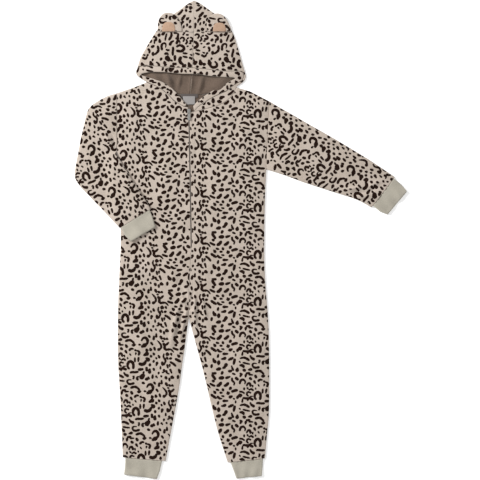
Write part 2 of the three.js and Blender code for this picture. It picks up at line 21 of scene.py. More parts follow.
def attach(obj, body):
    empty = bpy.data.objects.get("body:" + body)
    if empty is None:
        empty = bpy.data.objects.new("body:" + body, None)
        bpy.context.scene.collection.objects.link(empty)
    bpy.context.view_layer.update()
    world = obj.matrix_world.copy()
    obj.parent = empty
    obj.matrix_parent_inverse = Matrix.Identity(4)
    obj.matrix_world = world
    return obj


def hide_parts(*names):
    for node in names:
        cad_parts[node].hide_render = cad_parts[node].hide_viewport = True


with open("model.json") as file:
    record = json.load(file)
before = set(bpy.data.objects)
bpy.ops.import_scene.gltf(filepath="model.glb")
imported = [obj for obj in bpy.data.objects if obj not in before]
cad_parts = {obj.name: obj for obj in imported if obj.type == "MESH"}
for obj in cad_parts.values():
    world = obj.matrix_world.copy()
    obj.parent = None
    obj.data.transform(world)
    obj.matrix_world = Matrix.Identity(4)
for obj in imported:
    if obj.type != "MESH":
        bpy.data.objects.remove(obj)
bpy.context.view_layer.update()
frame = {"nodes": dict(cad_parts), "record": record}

log = logging.getLogger("pajama")

Array = np.ndarray
Height = Callable[[Array], Array]
Place = Callable[[Array], Array]
Material = bpy.types.Material

MM = 0.001
PLAN_ORIGIN = np.array([138.5, 653.5])  # the plan's point that lies over the frame's origin
STEP = 5.0  # distance between points of an outline
KNIT = 1.4  # thickness of the brushed knit
FRONT_THICK = 2.0  # from a front's underside to its outer face
LOW_EDGE = 2.6  # height of a front's underside at its edges
BODY_LOFT = 3.0  # how far the body rises over its edges
HOOD_LOFT = 3.0  # how far the hood rises over its edges
LOFT_REACH = 42.0  # distance from the edge at which cloth has risen in full
SEAM_GAP = 0.2  # half the gap between panels at a seam
CROSS_SEAM = 1219.0  # the hood's cross seam, in Y
CROSS_GAP = 0.08  # half the gap at the cross seam
ZIP_TOP = 1009.0  # the zip's upper end, in Y
ZIP_END = 634.0  # the zip's lower end, in Y
ZIP_SLOT = 1.6  # half the gap between the fronts along the zip
WAVE = 0.314  # scale at which a wave texture repeats about once a metre
GROUND, MARK, REVERSE = range(3)  # places of a printed cloth's materials


class Side(Enum):
    """Which way a layer of cloth shows its printed face."""

    UP = 1
    DOWN = -1


class Edge(Enum):
    """How a layer ends, as its fall and reach: turned over a side seam, sewn to its neighbour, or cut."""

    TURNED = (1.7, 4.5)
    SEWN = (0.4, 2.2)
    FREE = (0.5, 1.6)


@dataclass(frozen=True)
class Line:
    """A line in plan through measured points, in millimetres.

    Args:
        points: Corner points as x, y pairs.
    """

    points: tuple[tuple[float, float], ...]

    def array(self) -> Array:
        """The points as an array."""
        return np.array(self.points, dtype=float)

    def x_at(self, y: Array) -> Array:
        """The line's x at heights y, for a line that runs downwards."""
        p = self.array()[::-1]
        return np.interp(y, p[:, 1], p[:, 0])

    def distance(self, xy: Array) -> Array:
        """Distance of each point from the line."""
        return polyline_distance(xy, self.array())[0]

    def smooth(self, rounds: int = 2) -> "Line":
        """The line with its corners cut that often, its ends kept."""
        p = self.array()
        for _ in range(rounds):
            p = np.vstack([p[:1], cut_corners(p), p[-1:]])
        return between(*p)

    def samples(self, step: float = STEP) -> Array:
        """Points at even steps along the line, both ends kept."""
        p = self.array()
        length = np.concatenate([[0], np.cumsum(np.linalg.norm(np.diff(p, axis=0), axis=1))])
        at = np.linspace(0, length[-1], max(2, int(round(length[-1] / step)) + 1))
        return np.stack([np.interp(at, length, p[:, 0]), np.interp(at, length, p[:, 1])], 1)


def line(*xy: float) -> Line:
    """A line from a row of x, y, x, y and so on."""
    return Line(tuple(zip(xy[::2], xy[1::2])))


def between(*points: Sequence[float]) -> Line:
    """A line through points."""
    return Line(tuple(map(tuple, points)))


def cut_corners(p: Array) -> Array:
    """Two points on each stretch of a polyline, a quarter in from its ends."""
    near, far = p[:-1] * 0.75 + p[1:] * 0.25, p[:-1] * 0.25 + p[1:] * 0.75
    return np.stack([near, far], 1).reshape(-1, 2)


def polyline_distance(xy: Array, p: Array) -> tuple[Array, Array]:
    """Distance from points to a polyline.

    Args:
        xy: Points, one a row.
        p: Corners of the polyline.

    Returns:
        The distances, and the nearest places on the polyline.
    """
    best = np.full(len(xy), np.inf)
    near = np.zeros((len(xy), 2))
    for a, b in zip(p[:-1], p[1:]):
        d = b - a
        t = np.clip(((xy - a) @ d) / max(d @ d, 1e-12), 0, 1)
        q = a + t[:, None] * d
        r = np.hypot(*(xy - q).T)
        closer = r < best
        best[closer] = r[closer]
        near[closer] = q[closer]
    return best, near


def inside(xy: Array, loop: Array) -> Array:
    """Whether each point lies inside a closed loop."""
    x, y = xy[:, 0], xy[:, 1]
    held = np.zeros(len(xy), dtype=bool)
    for (ax, ay), (bx, by) in zip(loop, np.roll(loop, -1, axis=0)):
        if ay != by:
            held ^= ((ay > y) != (by > y)) & (x < (bx - ax) * (y - ay) / (by - ay) + ax)
    return held


def loop_of(*parts: Array) -> Array:
    """Joins stretches of outline into one anticlockwise loop without doubled corners."""
    points = [parts[0][0]]
    for p in np.vstack(parts):
        if np.hypot(*(p - points[-1])) > 0.05:
            points.append(p)
    if np.hypot(*(points[0] - points[-1])) < 0.05:
        points.pop()
    loop = np.array(points)
    return loop if twice_area(loop) > 0 else loop[::-1]


def twice_area(loop: Array) -> float:
    """Twice a loop's area, above zero where it runs anticlockwise."""
    x, y = loop.T
    return float(x @ np.roll(y, -1) - y @ np.roll(x, -1))


def smoothstep(t: Array) -> Array:
    """A soft step from 0 to 1."""
    s = np.clip(t, 0, 1)
    return s * s * (3 - 2 * s)


def quarter_round(t: Array) -> Array:
    """The rise of a quarter circle, from 0 at its foot to 1."""
    return np.sqrt(np.clip(1 - (1 - np.clip(t, 0, 1)) ** 2, 0, 1))


def dome(distance: Array, reach: float = LOFT_REACH) -> Array:
    """How far cloth has risen at a distance from its edge, from 0 to 1."""
    return np.sin(np.clip(distance / reach, 0, 1) * math.pi / 2)


def edge_drop(xy: Array, edges: Sequence[tuple[Line, Edge]]) -> Array:
    """How far a layer's face falls towards its edges.

    Args:
        xy: Plan points.
        edges: Edge lines and their kinds.

    Returns:
        The drop in millimetres.
    """
    drop = np.zeros(len(xy))
    for rim, kind in edges:
        depth, reach = kind.value
        drop = np.maximum(drop, depth * (1 - quarter_round(rim.distance(xy) / reach)))
    return drop


@dataclass(frozen=True)
class Fold:
    """A soft ridge or trough between two points.

    Args:
        start: Where it begins, in plan.
        end: Where it fades out.
        width: Half width of its flank.
        rise: Height, below zero for a trough.
        heavy: Share of the way along at which it is strongest.
    """

    start: tuple[float, float]
    end: tuple[float, float]
    width: float
    rise: float
    heavy: float = 0.5

    def height(self, xy: Array) -> Array:
        """The fold's height at each point."""
        a, b = np.array(self.start), np.array(self.end)
        d = b - a
        t = ((xy - a) @ d) / (d @ d)
        q = a + np.clip(t, 0, 1)[:, None] * d
        across = np.hypot(*(xy - q).T) / self.width
        peak = np.where(t < self.heavy, t / self.heavy, (1 - t) / (1 - self.heavy))
        return self.rise * np.exp(-(across**2)) * smoothstep(np.clip(peak, 0, 1) * 0.85 + 0.15)

    def points(self, step: float = 3.0) -> list[Array]:
        """Seven rows of points along the fold, the outer ones past its flanks."""
        first, last = np.array(self.start), np.array(self.end)
        run = float(np.hypot(*(last - first)))
        way = (last - first) / run
        side = np.array([-way[1], way[0]])
        along = first + np.arange(0, run, step)[:, None] * way
        return [along + side * share * self.width for share in (-1.5, -1.0, -0.5, 0.0, 0.5, 1.0, 1.5)]


def folds(*rows: tuple[float, ...]) -> tuple[Fold, ...]:
    """Folds from rows: start x, y, end x, y, width, rise and, unless it is halfway, the strongest place."""
    return tuple(Fold(row[:2], row[2:4], *row[4:]) for row in rows)


@dataclass(frozen=True)
class Drape:
    """The uneven lie of a cloth: its own folds and the slight waviness of brushed knit.

    Args:
        folds: Folds, given one by one.
        seed: Start of the waviness.
        wave: Height of the waviness.
        gain: How much more the folds stand out than their charted rise.
        ripples: Number of waves that make up the waviness.
    """

    folds: tuple[Fold, ...] = ()
    seed: int = 1
    wave: float = 0.16
    gain: float = 1.5
    ripples: int = 14

    def height(self, xy: Array) -> Array:
        """Height added by the drape at each point."""
        z = np.zeros(len(xy))
        for fold in self.folds:
            z += self.gain * fold.height(xy)
        rng = np.random.default_rng(self.seed)
        for _ in range(self.ripples):
            angle, length = rng.uniform(0, math.pi), rng.uniform(16, 75)
            k = np.array([math.cos(angle), math.sin(angle)]) * 2 * math.pi / length
            z += self.wave * 0.45 * (length / 60) ** 0.5 * np.sin(xy @ k + rng.uniform(0, 6.28))
        return z


@dataclass(frozen=True)
class Half:
    """One side of the garment: its lines in plan, and how the print and the folds lie on it.

    Args:
        name: The wearer's side.
        way: The side's sign along X.
        neck: Front neck edge.
        shoulder: Shoulder seam.
        side: Side seam from shoulder to ankle, with the armhole.
        armhole: The armhole alone.
        turned: The side seam below the armhole.
        inner: Inner leg seam.
        back_neck: Back neck edge.
        hood_side: Outer edge of the hood.
        cap: Fold of the crown.
        mouth_seam: Seam between hood front and band.
        sleeve_out: Upper edge of the sleeve, from the shoulder.
        sleeve_in: Lower edge of the sleeve, from the underarm.
        front_grain: Turn of the print on the front, in degrees.
        front_start: Shift of the print on the front.
        sleeve_grain: Turn of the print on the sleeve, in degrees.
        sleeve_start: Shift of the print across the sleeve.
        sleeve_drape: Folds of the sleeve.
        hood_grain: Turn of the print on the hood, in degrees.
        hood_low: Where the hood front's outer edge stops, in Y.
        ear: Middle, width, height and lean of the ear.
        ear_inner: The same for the inner ear.
        ear_seed: Start of the ear's waviness.
        ear_start: Shift of the print on the ear.
        wrist: The wrist cuff from seam to end: one fold's x, y, then the other's.
        ankle: The same for the ankle cuff.
    """

    name: str
    way: int
    neck: Line
    shoulder: Line
    side: Line
    armhole: Line
    turned: Line
    inner: Line
    back_neck: Line
    hood_side: Line
    cap: Line
    mouth_seam: Line
    sleeve_out: Line
    sleeve_in: Line
    front_grain: float
    front_start: tuple[float, float]
    sleeve_grain: float
    sleeve_start: float
    sleeve_drape: Drape
    hood_grain: float
    hood_low: float
    ear: tuple[float, float, float, float]
    ear_inner: tuple[float, float, float, float]
    ear_seed: int
    ear_start: float
    wrist: tuple[tuple[float, ...], ...]
    ankle: tuple[tuple[float, ...], ...]


CENTRE = line(-3, 1024, 1, 816, 4, 636, 0, 557, -3, 475, -3, 440)
HOOD_CENTRE = line(12, 1306, 11, 1219, 7, 1122, 0, 1047)
BAND_MOUTH = line(
    9, 1017, 20, 1030, 34, 1041, 50, 1052, 66, 1062, 84, 1071, 100, 1080, 116, 1089, 123, 1092, 124,
    1093.5, 122, 1094.5, 114, 1095, 88, 1096, 56, 1098.5, 27, 1103, -3, 1104.5, -26, 1104.5, -60, 1109,
    -105, 1110, -131, 1105.5, -134, 1103, -129, 1100, -96, 1090.5, -74, 1083, -54, 1071, -35, 1052.5, -22,
    1036, -9, 1023,
)
BAND_SEAM = line(
    11.5, 1004, 23, 1017, 40, 1028, 60, 1041, 84, 1052, 100, 1059, 110, 1067.5, 121, 1076, 140, 1086.5,
    147.5, 1098, 142.5, 1112.2, 118, 1112, 90, 1111.6, 55, 1116.6, 30, 1119, 7, 1121.2, -42, 1121.2, -76,
    1124, -109, 1127.2, -141, 1125.2, -148.4, 1109.5, -140.6, 1098, -118.6, 1083.6, -86.6, 1070.8, -61.4,
    1052.6, -43.4, 1032.6, -27, 1022.6, -13.6, 1015.8,
)
STRIP_INNER = line(
    143, 1113, 148.6, 1098.4, 141, 1085.8, 122.4, 1075.6, 110.8, 1066.6, 100.6, 1057.8, 84.6, 1050.8, 60.6,
    1039.8, 40.4, 1026.9, 23.4, 1016, 12, 1003.8,
)
STRIP_OUTER = line(
    149, 1114, 154, 1097, 145, 1082, 126, 1070.4, 121, 1055.5, 112, 1042.5, 97, 1029.5, 78, 1019.5, 58,
    1014.5, 33, 1007.5, 15, 1003.4,
)
RIGHT = Half(
    name="right", way=-1,
    neck=line(-4.5, 1014, -14, 1014.6, -44, 1031.5, -62, 1051.5, -87, 1069.5, -119, 1082),
    shoulder=line(-119, 1082, -145, 1072, -169, 1063, -199, 1053),
    side=line(
        -199, 1053, -199, 890, -197, 844, -192, 748, -188, 652, -191, 592, -197, 461, -197, 325, -192, 257,
        -188, 175, -183, 60,
    ),
    armhole=line(-199, 1053, -199, 891),
    turned=line(
        -199, 889, -197, 844, -192, 748, -188, 652, -191, 592, -197, 461, -197, 325, -192, 257, -188, 175,
        -183, 60,
    ),
    inner=line(-3.4, 440, -8, 407, -14, 358, -22, 308, -28, 259, -39, 194, -52, 128, -66, 50),
    back_neck=line(0, 1047, -35, 1050, -84, 1065, -119, 1082),
    hood_side=line(
        -89, 1226, -101, 1209, -120, 1177, -138, 1144, -142, 1126, -149, 1109, -141, 1097, -119, 1084,
    ),
    cap=line(12, 1306, 0, 1301, -14, 1291, -40, 1272, -66, 1254, -86, 1239, -89, 1226),
    mouth_seam=line(7, 1122, -42, 1122, -109, 1128, -141, 1126),
    sleeve_out=line(
        -199.15, 1053, -227, 1045, -254, 1030, -276, 1014.5, -284, 991, -290, 962, -298, 931, -303, 902,
        -309, 871, -314, 845, -315, 823, -306, 806, -288, 786, -265, 762, -238, 734.5, -213, 708, -190.6,
        685,
    ),
    sleeve_in=line(
        -199.15, 891, -199.4, 889.8, -199.3, 887.6, -198.6, 885, -197, 881, -194.5, 876.5, -187.5, 866.5,
        -175, 848, -160, 822, -146, 800, -134.5, 783.5, -125, 768, -117.5, 756, -111, 745.5, -106, 736.6,
    ),
    front_grain=6.5, front_start=(-177.0, 4.0),
    sleeve_grain=26, sleeve_start=56.0,
    sleeve_drape=Drape(
        folds(
            (-238, 952, -199, 889, 4.5, 2.8), (-222, 952, -193, 908, 5, -1.3),
            (-211, 882, -128, 768, 8, 2.2), (-212, 945, -202, 900, 3.5, -0.8),
            (-290, 850, -225, 832, 12, 0.9), (-306, 812, -220, 822, 9, -0.7),
            (-205, 776, -150, 800, 10, 0.6), (-250, 930, -215, 870, 12, 0.5),
            (-195, 705, -150, 745, 8, 0.6),
        ),
        seed=21,
    ),
    hood_grain=-90, hood_low=1127,
    ear=(-54, 67, 52, -5), ear_inner=(-58, 36, 26, 0), ear_seed=42, ear_start=130.0,
    wrist=((-187.0, 686.6, -109.1, 734.1), (-178, 666, -102, 716), (-160, 648, -93, 688)),
    ankle=((-176, 58.5, -76, 50.1), (-177, 35, -82, 23), (-180, 13, -90, 1)),
)
LEFT = Half(
    name="left", way=1,
    neck=line(
        -0.7, 1001, 11, 1002, 33, 1006.5, 58, 1013.5, 78, 1018.5, 97, 1028.5, 112, 1041.5, 121, 1054.5,
        126, 1069,
    ),
    shoulder=line(126, 1069, 164, 1058, 216, 1031),
    side=line(
        216, 1031, 208, 844, 204, 748, 203, 652, 203, 584, 207, 516, 213, 448, 216, 379, 217, 270, 216,
        175, 210, 120, 205, 57,
    ),
    armhole=line(216, 1031, 208, 845),
    turned=line(
        208, 843, 204, 748, 203, 652, 203, 584, 207, 516, 213, 448, 216, 379, 217, 270, 216, 175, 210, 120,
        205, 57,
    ),
    inner=line(-2.6, 440, 6, 407, 19, 358, 33, 308, 45, 259, 60, 194, 76, 128, 103, 46),
    back_neck=line(0, 1047, 37, 1049, 88, 1059, 126, 1069),
    hood_side=line(
        113, 1226, 121, 1209, 131, 1177, 140, 1144, 149, 1114, 154, 1097, 145, 1082, 126, 1070.5,
    ),
    cap=line(12, 1306, 23, 1301, 41, 1289, 64, 1272, 87, 1257, 109, 1240, 113, 1226),
    mouth_seam=line(7, 1122, 55, 1117.4, 90, 1112.5, 143, 1113, 149, 1114),
    sleeve_out=line(
        216.15, 1031, 254, 1008.5, 292, 987, 330, 965, 369, 943, 407, 921, 445, 898, 483, 875, 521, 850,
        559, 824,
    ),
    sleeve_in=line(
        208.15, 845, 238, 836, 270, 825, 306, 811, 341, 800, 377, 788, 412, 777, 445, 767, 472, 755, 495,
        741,
    ),
    front_grain=0.0, front_start=(-117.0, 32.0),
    sleeve_grain=53, sleeve_start=90.5,
    sleeve_drape=Drape(
        folds(
            (415, 791, 482, 797, 5, 3.4), (482, 797, 531, 817, 5, 3.2, 0.2), (425, 779, 482, 782, 4, -2.2),
            (482, 782, 528, 802, 4, -2.2, 0.2), (440, 767, 508, 776, 5.5, 3.0, 0.3),
            (430, 796, 486, 800, 8, 1.0), (300, 850, 400, 830, 14, 0.9), (230, 880, 290, 860, 12, 0.7),
            (220, 1000, 240, 900, 14, 0.6), (350, 905, 470, 850, 16, 0.5),
        ),
        seed=23,
    ),
    hood_grain=-98, hood_low=1115,
    ear=(79, 65, 50, -6), ear_inner=(80.5, 35, 24, 0), ear_seed=41, ear_start=40.0,
    wrist=((556.8, 820.4, 499.2, 745.7), (577, 803, 520, 729), (592, 785, 539, 722)),
    ankle=((199, 55.6, 111, 46.1), (198, 32, 119, 24), (196, 9, 127, 2)),
)


# One repeat of the print, charted in millimetres: half the brush's width, then each stroke's points.
CURLS = (
    (2.6, 3, 101, 4, 108, 9, 113, 15, 111, 19, 106, 16, 100), (2.4, 15, 91, 15, 84),
    (2.8, 22, 95, 23, 101, 28, 103, 32, 100, 32, 94), (2.0, 23, 90, 26, 86), (3.2, 30, 117, 35, 113),
    (2.6, 20, 126, 19, 119), (2.8, 7, 126, 4, 120), (2.5, 3, 79, 10, 79, 15, 75), (4.4, 2, 69, 7, 69),
    (2.5, 28, 84, 34, 87, 40, 83), (2.2, 38, 97, 39, 92), (1.9, 45, 91, 46, 86),
    (2.2, 33, 76, 27, 79, 22, 76, 23, 70, 27, 67), (2.9, 12, 63, 22, 61, 30, 62, 38, 58),
    (2.4, 23, 56, 29, 63, 33, 67, 39, 67), (2.3, 11, 60, 9, 50), (2.8, 3, 41, 11, 45, 20, 43, 29, 37),
    (3.1, 31, 50, 34, 44, 42, 40), (2.1, 2, 34, 5, 31), (2.2, 11, 31, 20, 29, 31, 28),
    (3.2, 3, 23, 12, 23, 14, 17), (3.6, 12, 11, 17, 9), (3.1, 26, 11, 35, 12), (2.7, 20, 1, 30, 2),
    (2.7, 3, 2, 9, -2), (2.2, 28, 126, 39, 125), (3.1, 45, 124, 47, 118), (2.9, 41, 109, 46, 101),
    (2.9, 52, 108, 58, 112, 65, 111), (3.3, 64, 121, 71, 122), (2.2, 68, 107, 74, 104),
    (2.2, 70, 100, 69, 94), (3.1, 48, 58, 43, 64, 44, 73, 50, 79, 57, 76, 60, 68, 58, 58),
    (2.7, 48, 47, 54, 49, 62, 46, 71, 47), (2.4, 66, 87, 65, 76), (2.3, 54, 37, 59, 37, 55, 29),
    (2.8, 70, 35, 65, 32, 67, 25), (2.7, 50, 27, 42, 30, 37, 26, 39, 19, 46, 16, 56, 18),
    (2.8, 46, 7, 57, 9, 66, 3, 69, -4, 63, -7),
)
BLOTS = (
    (3.0, 89, 3, 93, 9, 100, 10, 106, 4, 105, -5, 99, -9), (4.6, 100, -8, 87, -14),
    (3.7, 100, 106, 101, 102), (3.5, 110, 107, 111, 103), (4.3, 91, 90, 101, 94),
    (2.7, 75, 106, 81, 101, 77, 93), (2.5, 76, 86, 74, 75), (4.4, 97, 83, 102, 76),
    (3.2, 110, 88, 110, 84), (3.6, 76, 69, 83, 65, 90, 68, 95, 75), (3.1, 105, 66, 104, 60),
    (3.4, 72, 54, 84, 53), (3.3, 94, 57, 94, 48), (3.6, 102, 52, 101, 41), (5.4, 77, 31, 84, 38),
    (3.6, 88, 25, 92, 26), (2.7, 109, 35, 107, 25), (2.9, 78, 16, 84, 14), (2.9, 95, 30, 97, 26),
    (2.4, 84, 43, 86, 47), (2.6, 116, 74, 114, 68), (2.7, 113, 52, 115, 46), (2.7, 110, 15, 114, 9),
    (2.6, 116, 94, 119, 89), (2.5, 114, 122, 118, 116), (2.4, 117, 30, 120, 25), (2.4, 81, 121, 86, 119),
)
SQUIGGLES = (
    (2.5, 131, 127, 137, 121, 142, 112, 139, 104), (3.4, 131, 101, 138, 103),
    (3.1, 147, 117, 151, 110, 148, 104, 152, 98, 160, 100, 167, 98, 173, 89),
    (2.8, 151, 111, 156, 113, 163, 118), (2.2, 145, 123, 149, 121), (4.8, 153, 86, 158, 85),
    (2.6, 165, 87, 166, 81), (2.4, 145, 88, 142, 80, 148, 71, 146, 64, 141, 59), (3.4, 137, 66, 139, 58),
    (2.5, 152, 77, 155, 72), (2.7, 160, 73, 165, 74), (2.9, 130, 86, 132, 79),
    (2.9, 161, 64, 168, 58, 174, 51), (2.3, 151, 58, 152, 48), (2.3, 157, 57, 158, 51),
    (2.6, 134, 38, 140, 40, 140, 46), (2.5, 146, 42, 148, 34, 154, 32), (2.5, 158, 44, 161, 33),
    (3.1, 142, 25, 145, 20), (3.8, 160, 23, 165, 20), (2.5, 153, 22, 153, 14), (2.7, 131, 18, 130, 8),
    (3.1, 141, 9, 144, 2), (2.7, 150, 3, 152, -2), (2.7, 158, 1, 161, -3), (2.5, 122, 109, 123, 100),
    (2.9, 125, 67, 122, 58), (2.2, 132, 56, 131, 49), (2.1, 123, 80, 124, 77), (3.0, 123, 12, 122, 2),
    (2.2, 131, 30, 133, 26), (2.4, 126, 40, 124, 34),
)
DABS = (
    (3.1, 178, 126, 182, 119, 187, 114), (3.4, 179, 109, 181, 107), (2.7, 172, 102, 178, 98, 185, 95),
    (3.3, 181, 82, 187, 76), (2.8, 189, 85, 197, 83), (2.6, 199, 77, 207, 76),
    (3.1, 175, 71, 181, 66, 189, 61), (2.7, 192, 67, 198, 61, 205, 60), (2.2, 202, 68, 211, 67),
    (2.9, 206, 86, 208, 83), (4.5, 219, 78, 221, 74), (3.3, 225, 86, 229, 90),
    (3.5, 191, 96, 198, 98, 203, 105), (3.3, 211, 95, 216, 97, 222, 103), (4.1, 197, 116, 208, 117),
    (2.9, 215, 116, 226, 120), (2.4, 231, 116, 232, 109, 239, 104, 237, 97), (3.5, 242, 117, 248, 113),
    (3.3, 232, 79, 240, 83, 247, 84), (3.3, 225, 64, 232, 67), (2.2, 235, 62, 239, 60),
    (3.1, 248, 69, 246, 61), (3.0, 208, 54, 221, 55), (2.5, 195, 53, 193, 46), (2.2, 242, 54, 241, 48),
    (3.3, 203, 39, 209, 40, 215, 43), (3.1, 222, 38, 227, 40, 234, 43), (3.3, 240, 40, 237, 33, 236, 26),
    (4.0, 180, 42, 182, 36, 187, 31), (3.6, 196, 35, 195, 26), (3.5, 216, 27, 211, 18),
    (3.2, 206, 16, 213, 18), (2.7, 177, 26, 176, 16), (3.6, 190, 12, 200, 14),
    (2.5, 230, 22, 233, 14, 236, 10), (3.5, 222, 6, 230, 7), (3.9, 246, 16, 245, 7), (2.9, 177, 2, 188, 2),
    (3.1, 206, 6, 203, -2), (2.4, 234, 1, 240, -2),
)


@dataclass(frozen=True)
class AnimalPrint:
    """A small all-over repeat of brush strokes, charted and screened along the cloth.

    Args:
        wide: Width of the repeat.
        tall: Height of the repeat.
        seed: Start of the strokes' unevenness.
        strokes: The charted strokes.
        specks: Times a small speck is tried in the ground left over.
        gap: Least ground round a speck.
        bare: Ground left between a mark and the edge of a piece.
        reach: Farthest that a mark's edge can be from its middle.
    """

    wide: float = 250.0
    tall: float = 128.0
    seed: int = 7
    strokes: tuple[tuple[float, ...], ...] = CURLS + BLOTS + SQUIGGLES + DABS
    specks: int = 420
    gap: float = 3.4
    bare: float = 0.5
    reach: float = 26.0

    def stroke(self, centre: Array, half: Array) -> Array:
        """A closed outline round a brush stroke, anticlockwise.

        Args:
            centre: Points along the stroke.
            half: Half width at each point.

        Returns:
            The outline's points.
        """
        along = np.gradient(centre, axis=0)
        along /= np.maximum(np.hypot(*along.T), 1e-9)[:, None]
        across = np.stack([-along[:, 1], along[:, 0]], 1)
        left, right = centre + across * half[:, None], centre - across * half[:, None]
        caps = []
        for k, sign in ((-1, 1), (0, -1)):
            for turn in (0.9, 0.0, -0.9):
                way = sign * (along[k] * math.cos(turn) + across[k] * math.sin(turn))
                caps.append(centre[k] + way * half[k] * 0.95)
        return np.vstack([left, caps[:3], right[::-1], caps[3:]])[::-1]

    def shape(self, rng: np.random.Generator, half: float, points: Array) -> tuple[Array, Array]:
        """One stroke's smooth centre line and half widths.

        Args:
            rng: Source of its unevenness.
            half: Half the brush's width.
            points: The charted points.

        Returns:
            Centre points and half widths.
        """
        points = points + rng.normal(0, 0.45, points.shape)
        for _ in range(2 if len(points) > 4 else int(len(points) > 2)):
            points = np.vstack([points[:1], cut_corners(points)[1:-1], points[-1:]])
        run = np.concatenate([[0], np.cumsum(np.hypot(*np.diff(points, axis=0).T))])
        pull = min(0.4 * half, 0.18 * run[-1])
        count = max(3, int(run[-1] / 3.0) + 2)
        at = np.linspace(pull, run[-1] - pull, count)
        path = np.stack([np.interp(at, run, points[:, k]) for k in (0, 1)], 1)
        heavy = rng.uniform(-0.8, 0.8)
        width = half * (1.34 - 0.25 * np.abs(2 * at / run[-1] - 1 - heavy) ** 2)
        return path, width * rng.uniform(0.86, 1.12, count)

    def repeat(self) -> list[Array]:
        """Outlines of the marks in one repeat: the charted strokes, then specks where ground is left over."""
        rng = np.random.default_rng(self.seed)
        size = np.array([self.wide, self.tall])
        shapes = [self.shape(rng, row[0], np.array(row[1:]).reshape(-1, 2)) for row in self.strokes]
        for _ in range(self.specks):
            at, angle, length = rng.uniform(0, size), rng.uniform(0.7, 2.3), rng.uniform(5.0, 9.0)
            way = np.array([math.cos(angle), math.sin(angle)]) * length / 2
            path, half = self.shape(rng, rng.uniform(1.8, 2.6), np.array([at - way, at + way]))
            held = np.vstack([centre for centre, _ in shapes])
            width = np.concatenate([wide for _, wide in shapes])
            off = np.abs(path[:, None] - held[None]) % size
            off = np.minimum(off, size - off)
            if (np.hypot(off[..., 0], off[..., 1]) - half[:, None] - width[None]).min() > self.gap:
                shapes.append((path, half))
        return [self.stroke(centre, half) for centre, half in shapes]

    def over(self, loop: Array, grain: float, start: tuple[float, float]) -> list[Array]:
        """The marks that fall on a cut piece.

        Args:
            loop: The piece's outline.
            grain: Turn of the print on the piece, in radians.
            start: Shift of the print along the cloth.

        Returns:
            Outlines of marks, each pulled in to lie inside the piece.
        """
        c, s = math.cos(grain), math.sin(grain)
        turn = np.array([[c, s], [-s, c]])
        flat = loop @ turn.T - start
        size = np.array([self.wide, self.tall])
        low, high = np.floor((flat.min(0) - 30) / size), np.ceil((flat.max(0) + 30) / size)
        found = [
            (mark + [i * self.wide, j * self.tall] + start) @ turn
            for mark in REPEAT_MARKS
            for i in range(int(low[0]), int(high[0]))
            for j in range(int(low[1]), int(high[1]))
        ]
        closed = np.vstack([loop, loop[:1]])
        centres = np.array([mark.mean(0) for mark in found])
        far, within = polyline_distance(centres, closed)[0] > self.reach, inside(centres, loop)
        kept = [mark for mark, away, held in zip(found, far, within) if away and held]
        found = [mark for mark, away in zip(found, far) if not away]
        every = np.vstack(found)
        held = inside(every, loop)
        distance, near = polyline_distance(every, closed)
        inward = (near - every) * np.where(held, -1, 1)[:, None]
        inward /= np.maximum(np.hypot(*inward.T), 1e-6)[:, None]
        outside = ~held | (distance < self.bare)
        every = np.where(outside[:, None], near + inward * self.bare, every)
        cuts = np.cumsum([len(mark) for mark in found])[:-1]
        pulled = zip(np.split(every, cuts), np.split(outside, cuts))
        found = [mark for mark, out in pulled if out.mean() < 0.7]
        check = np.vstack([np.vstack([mark, (mark + np.roll(mark, -1, 0)) / 2]) for mark in found])
        sound = inside(check, loop) & (polyline_distance(check, closed)[0] > self.bare / 2)
        cuts = np.cumsum([2 * len(mark) for mark in found])[:-1]
        return kept + [mark for mark, clear in zip(found, np.split(sound, cuts)) if clear.all()]


PRINT = AnimalPrint()
REPEAT_MARKS = PRINT.repeat()


def linear(code: str) -> tuple[float, float, float, float]:
    """A hex sRGB colour in linear light."""
    channels = [int(code[i : i + 2], 16) / 255 for i in (1, 3, 5)]
    return (*(c / 12.92 if c <= 0.04045 else ((c + 0.055) / 1.055) ** 2.4 for c in channels), 1.0)


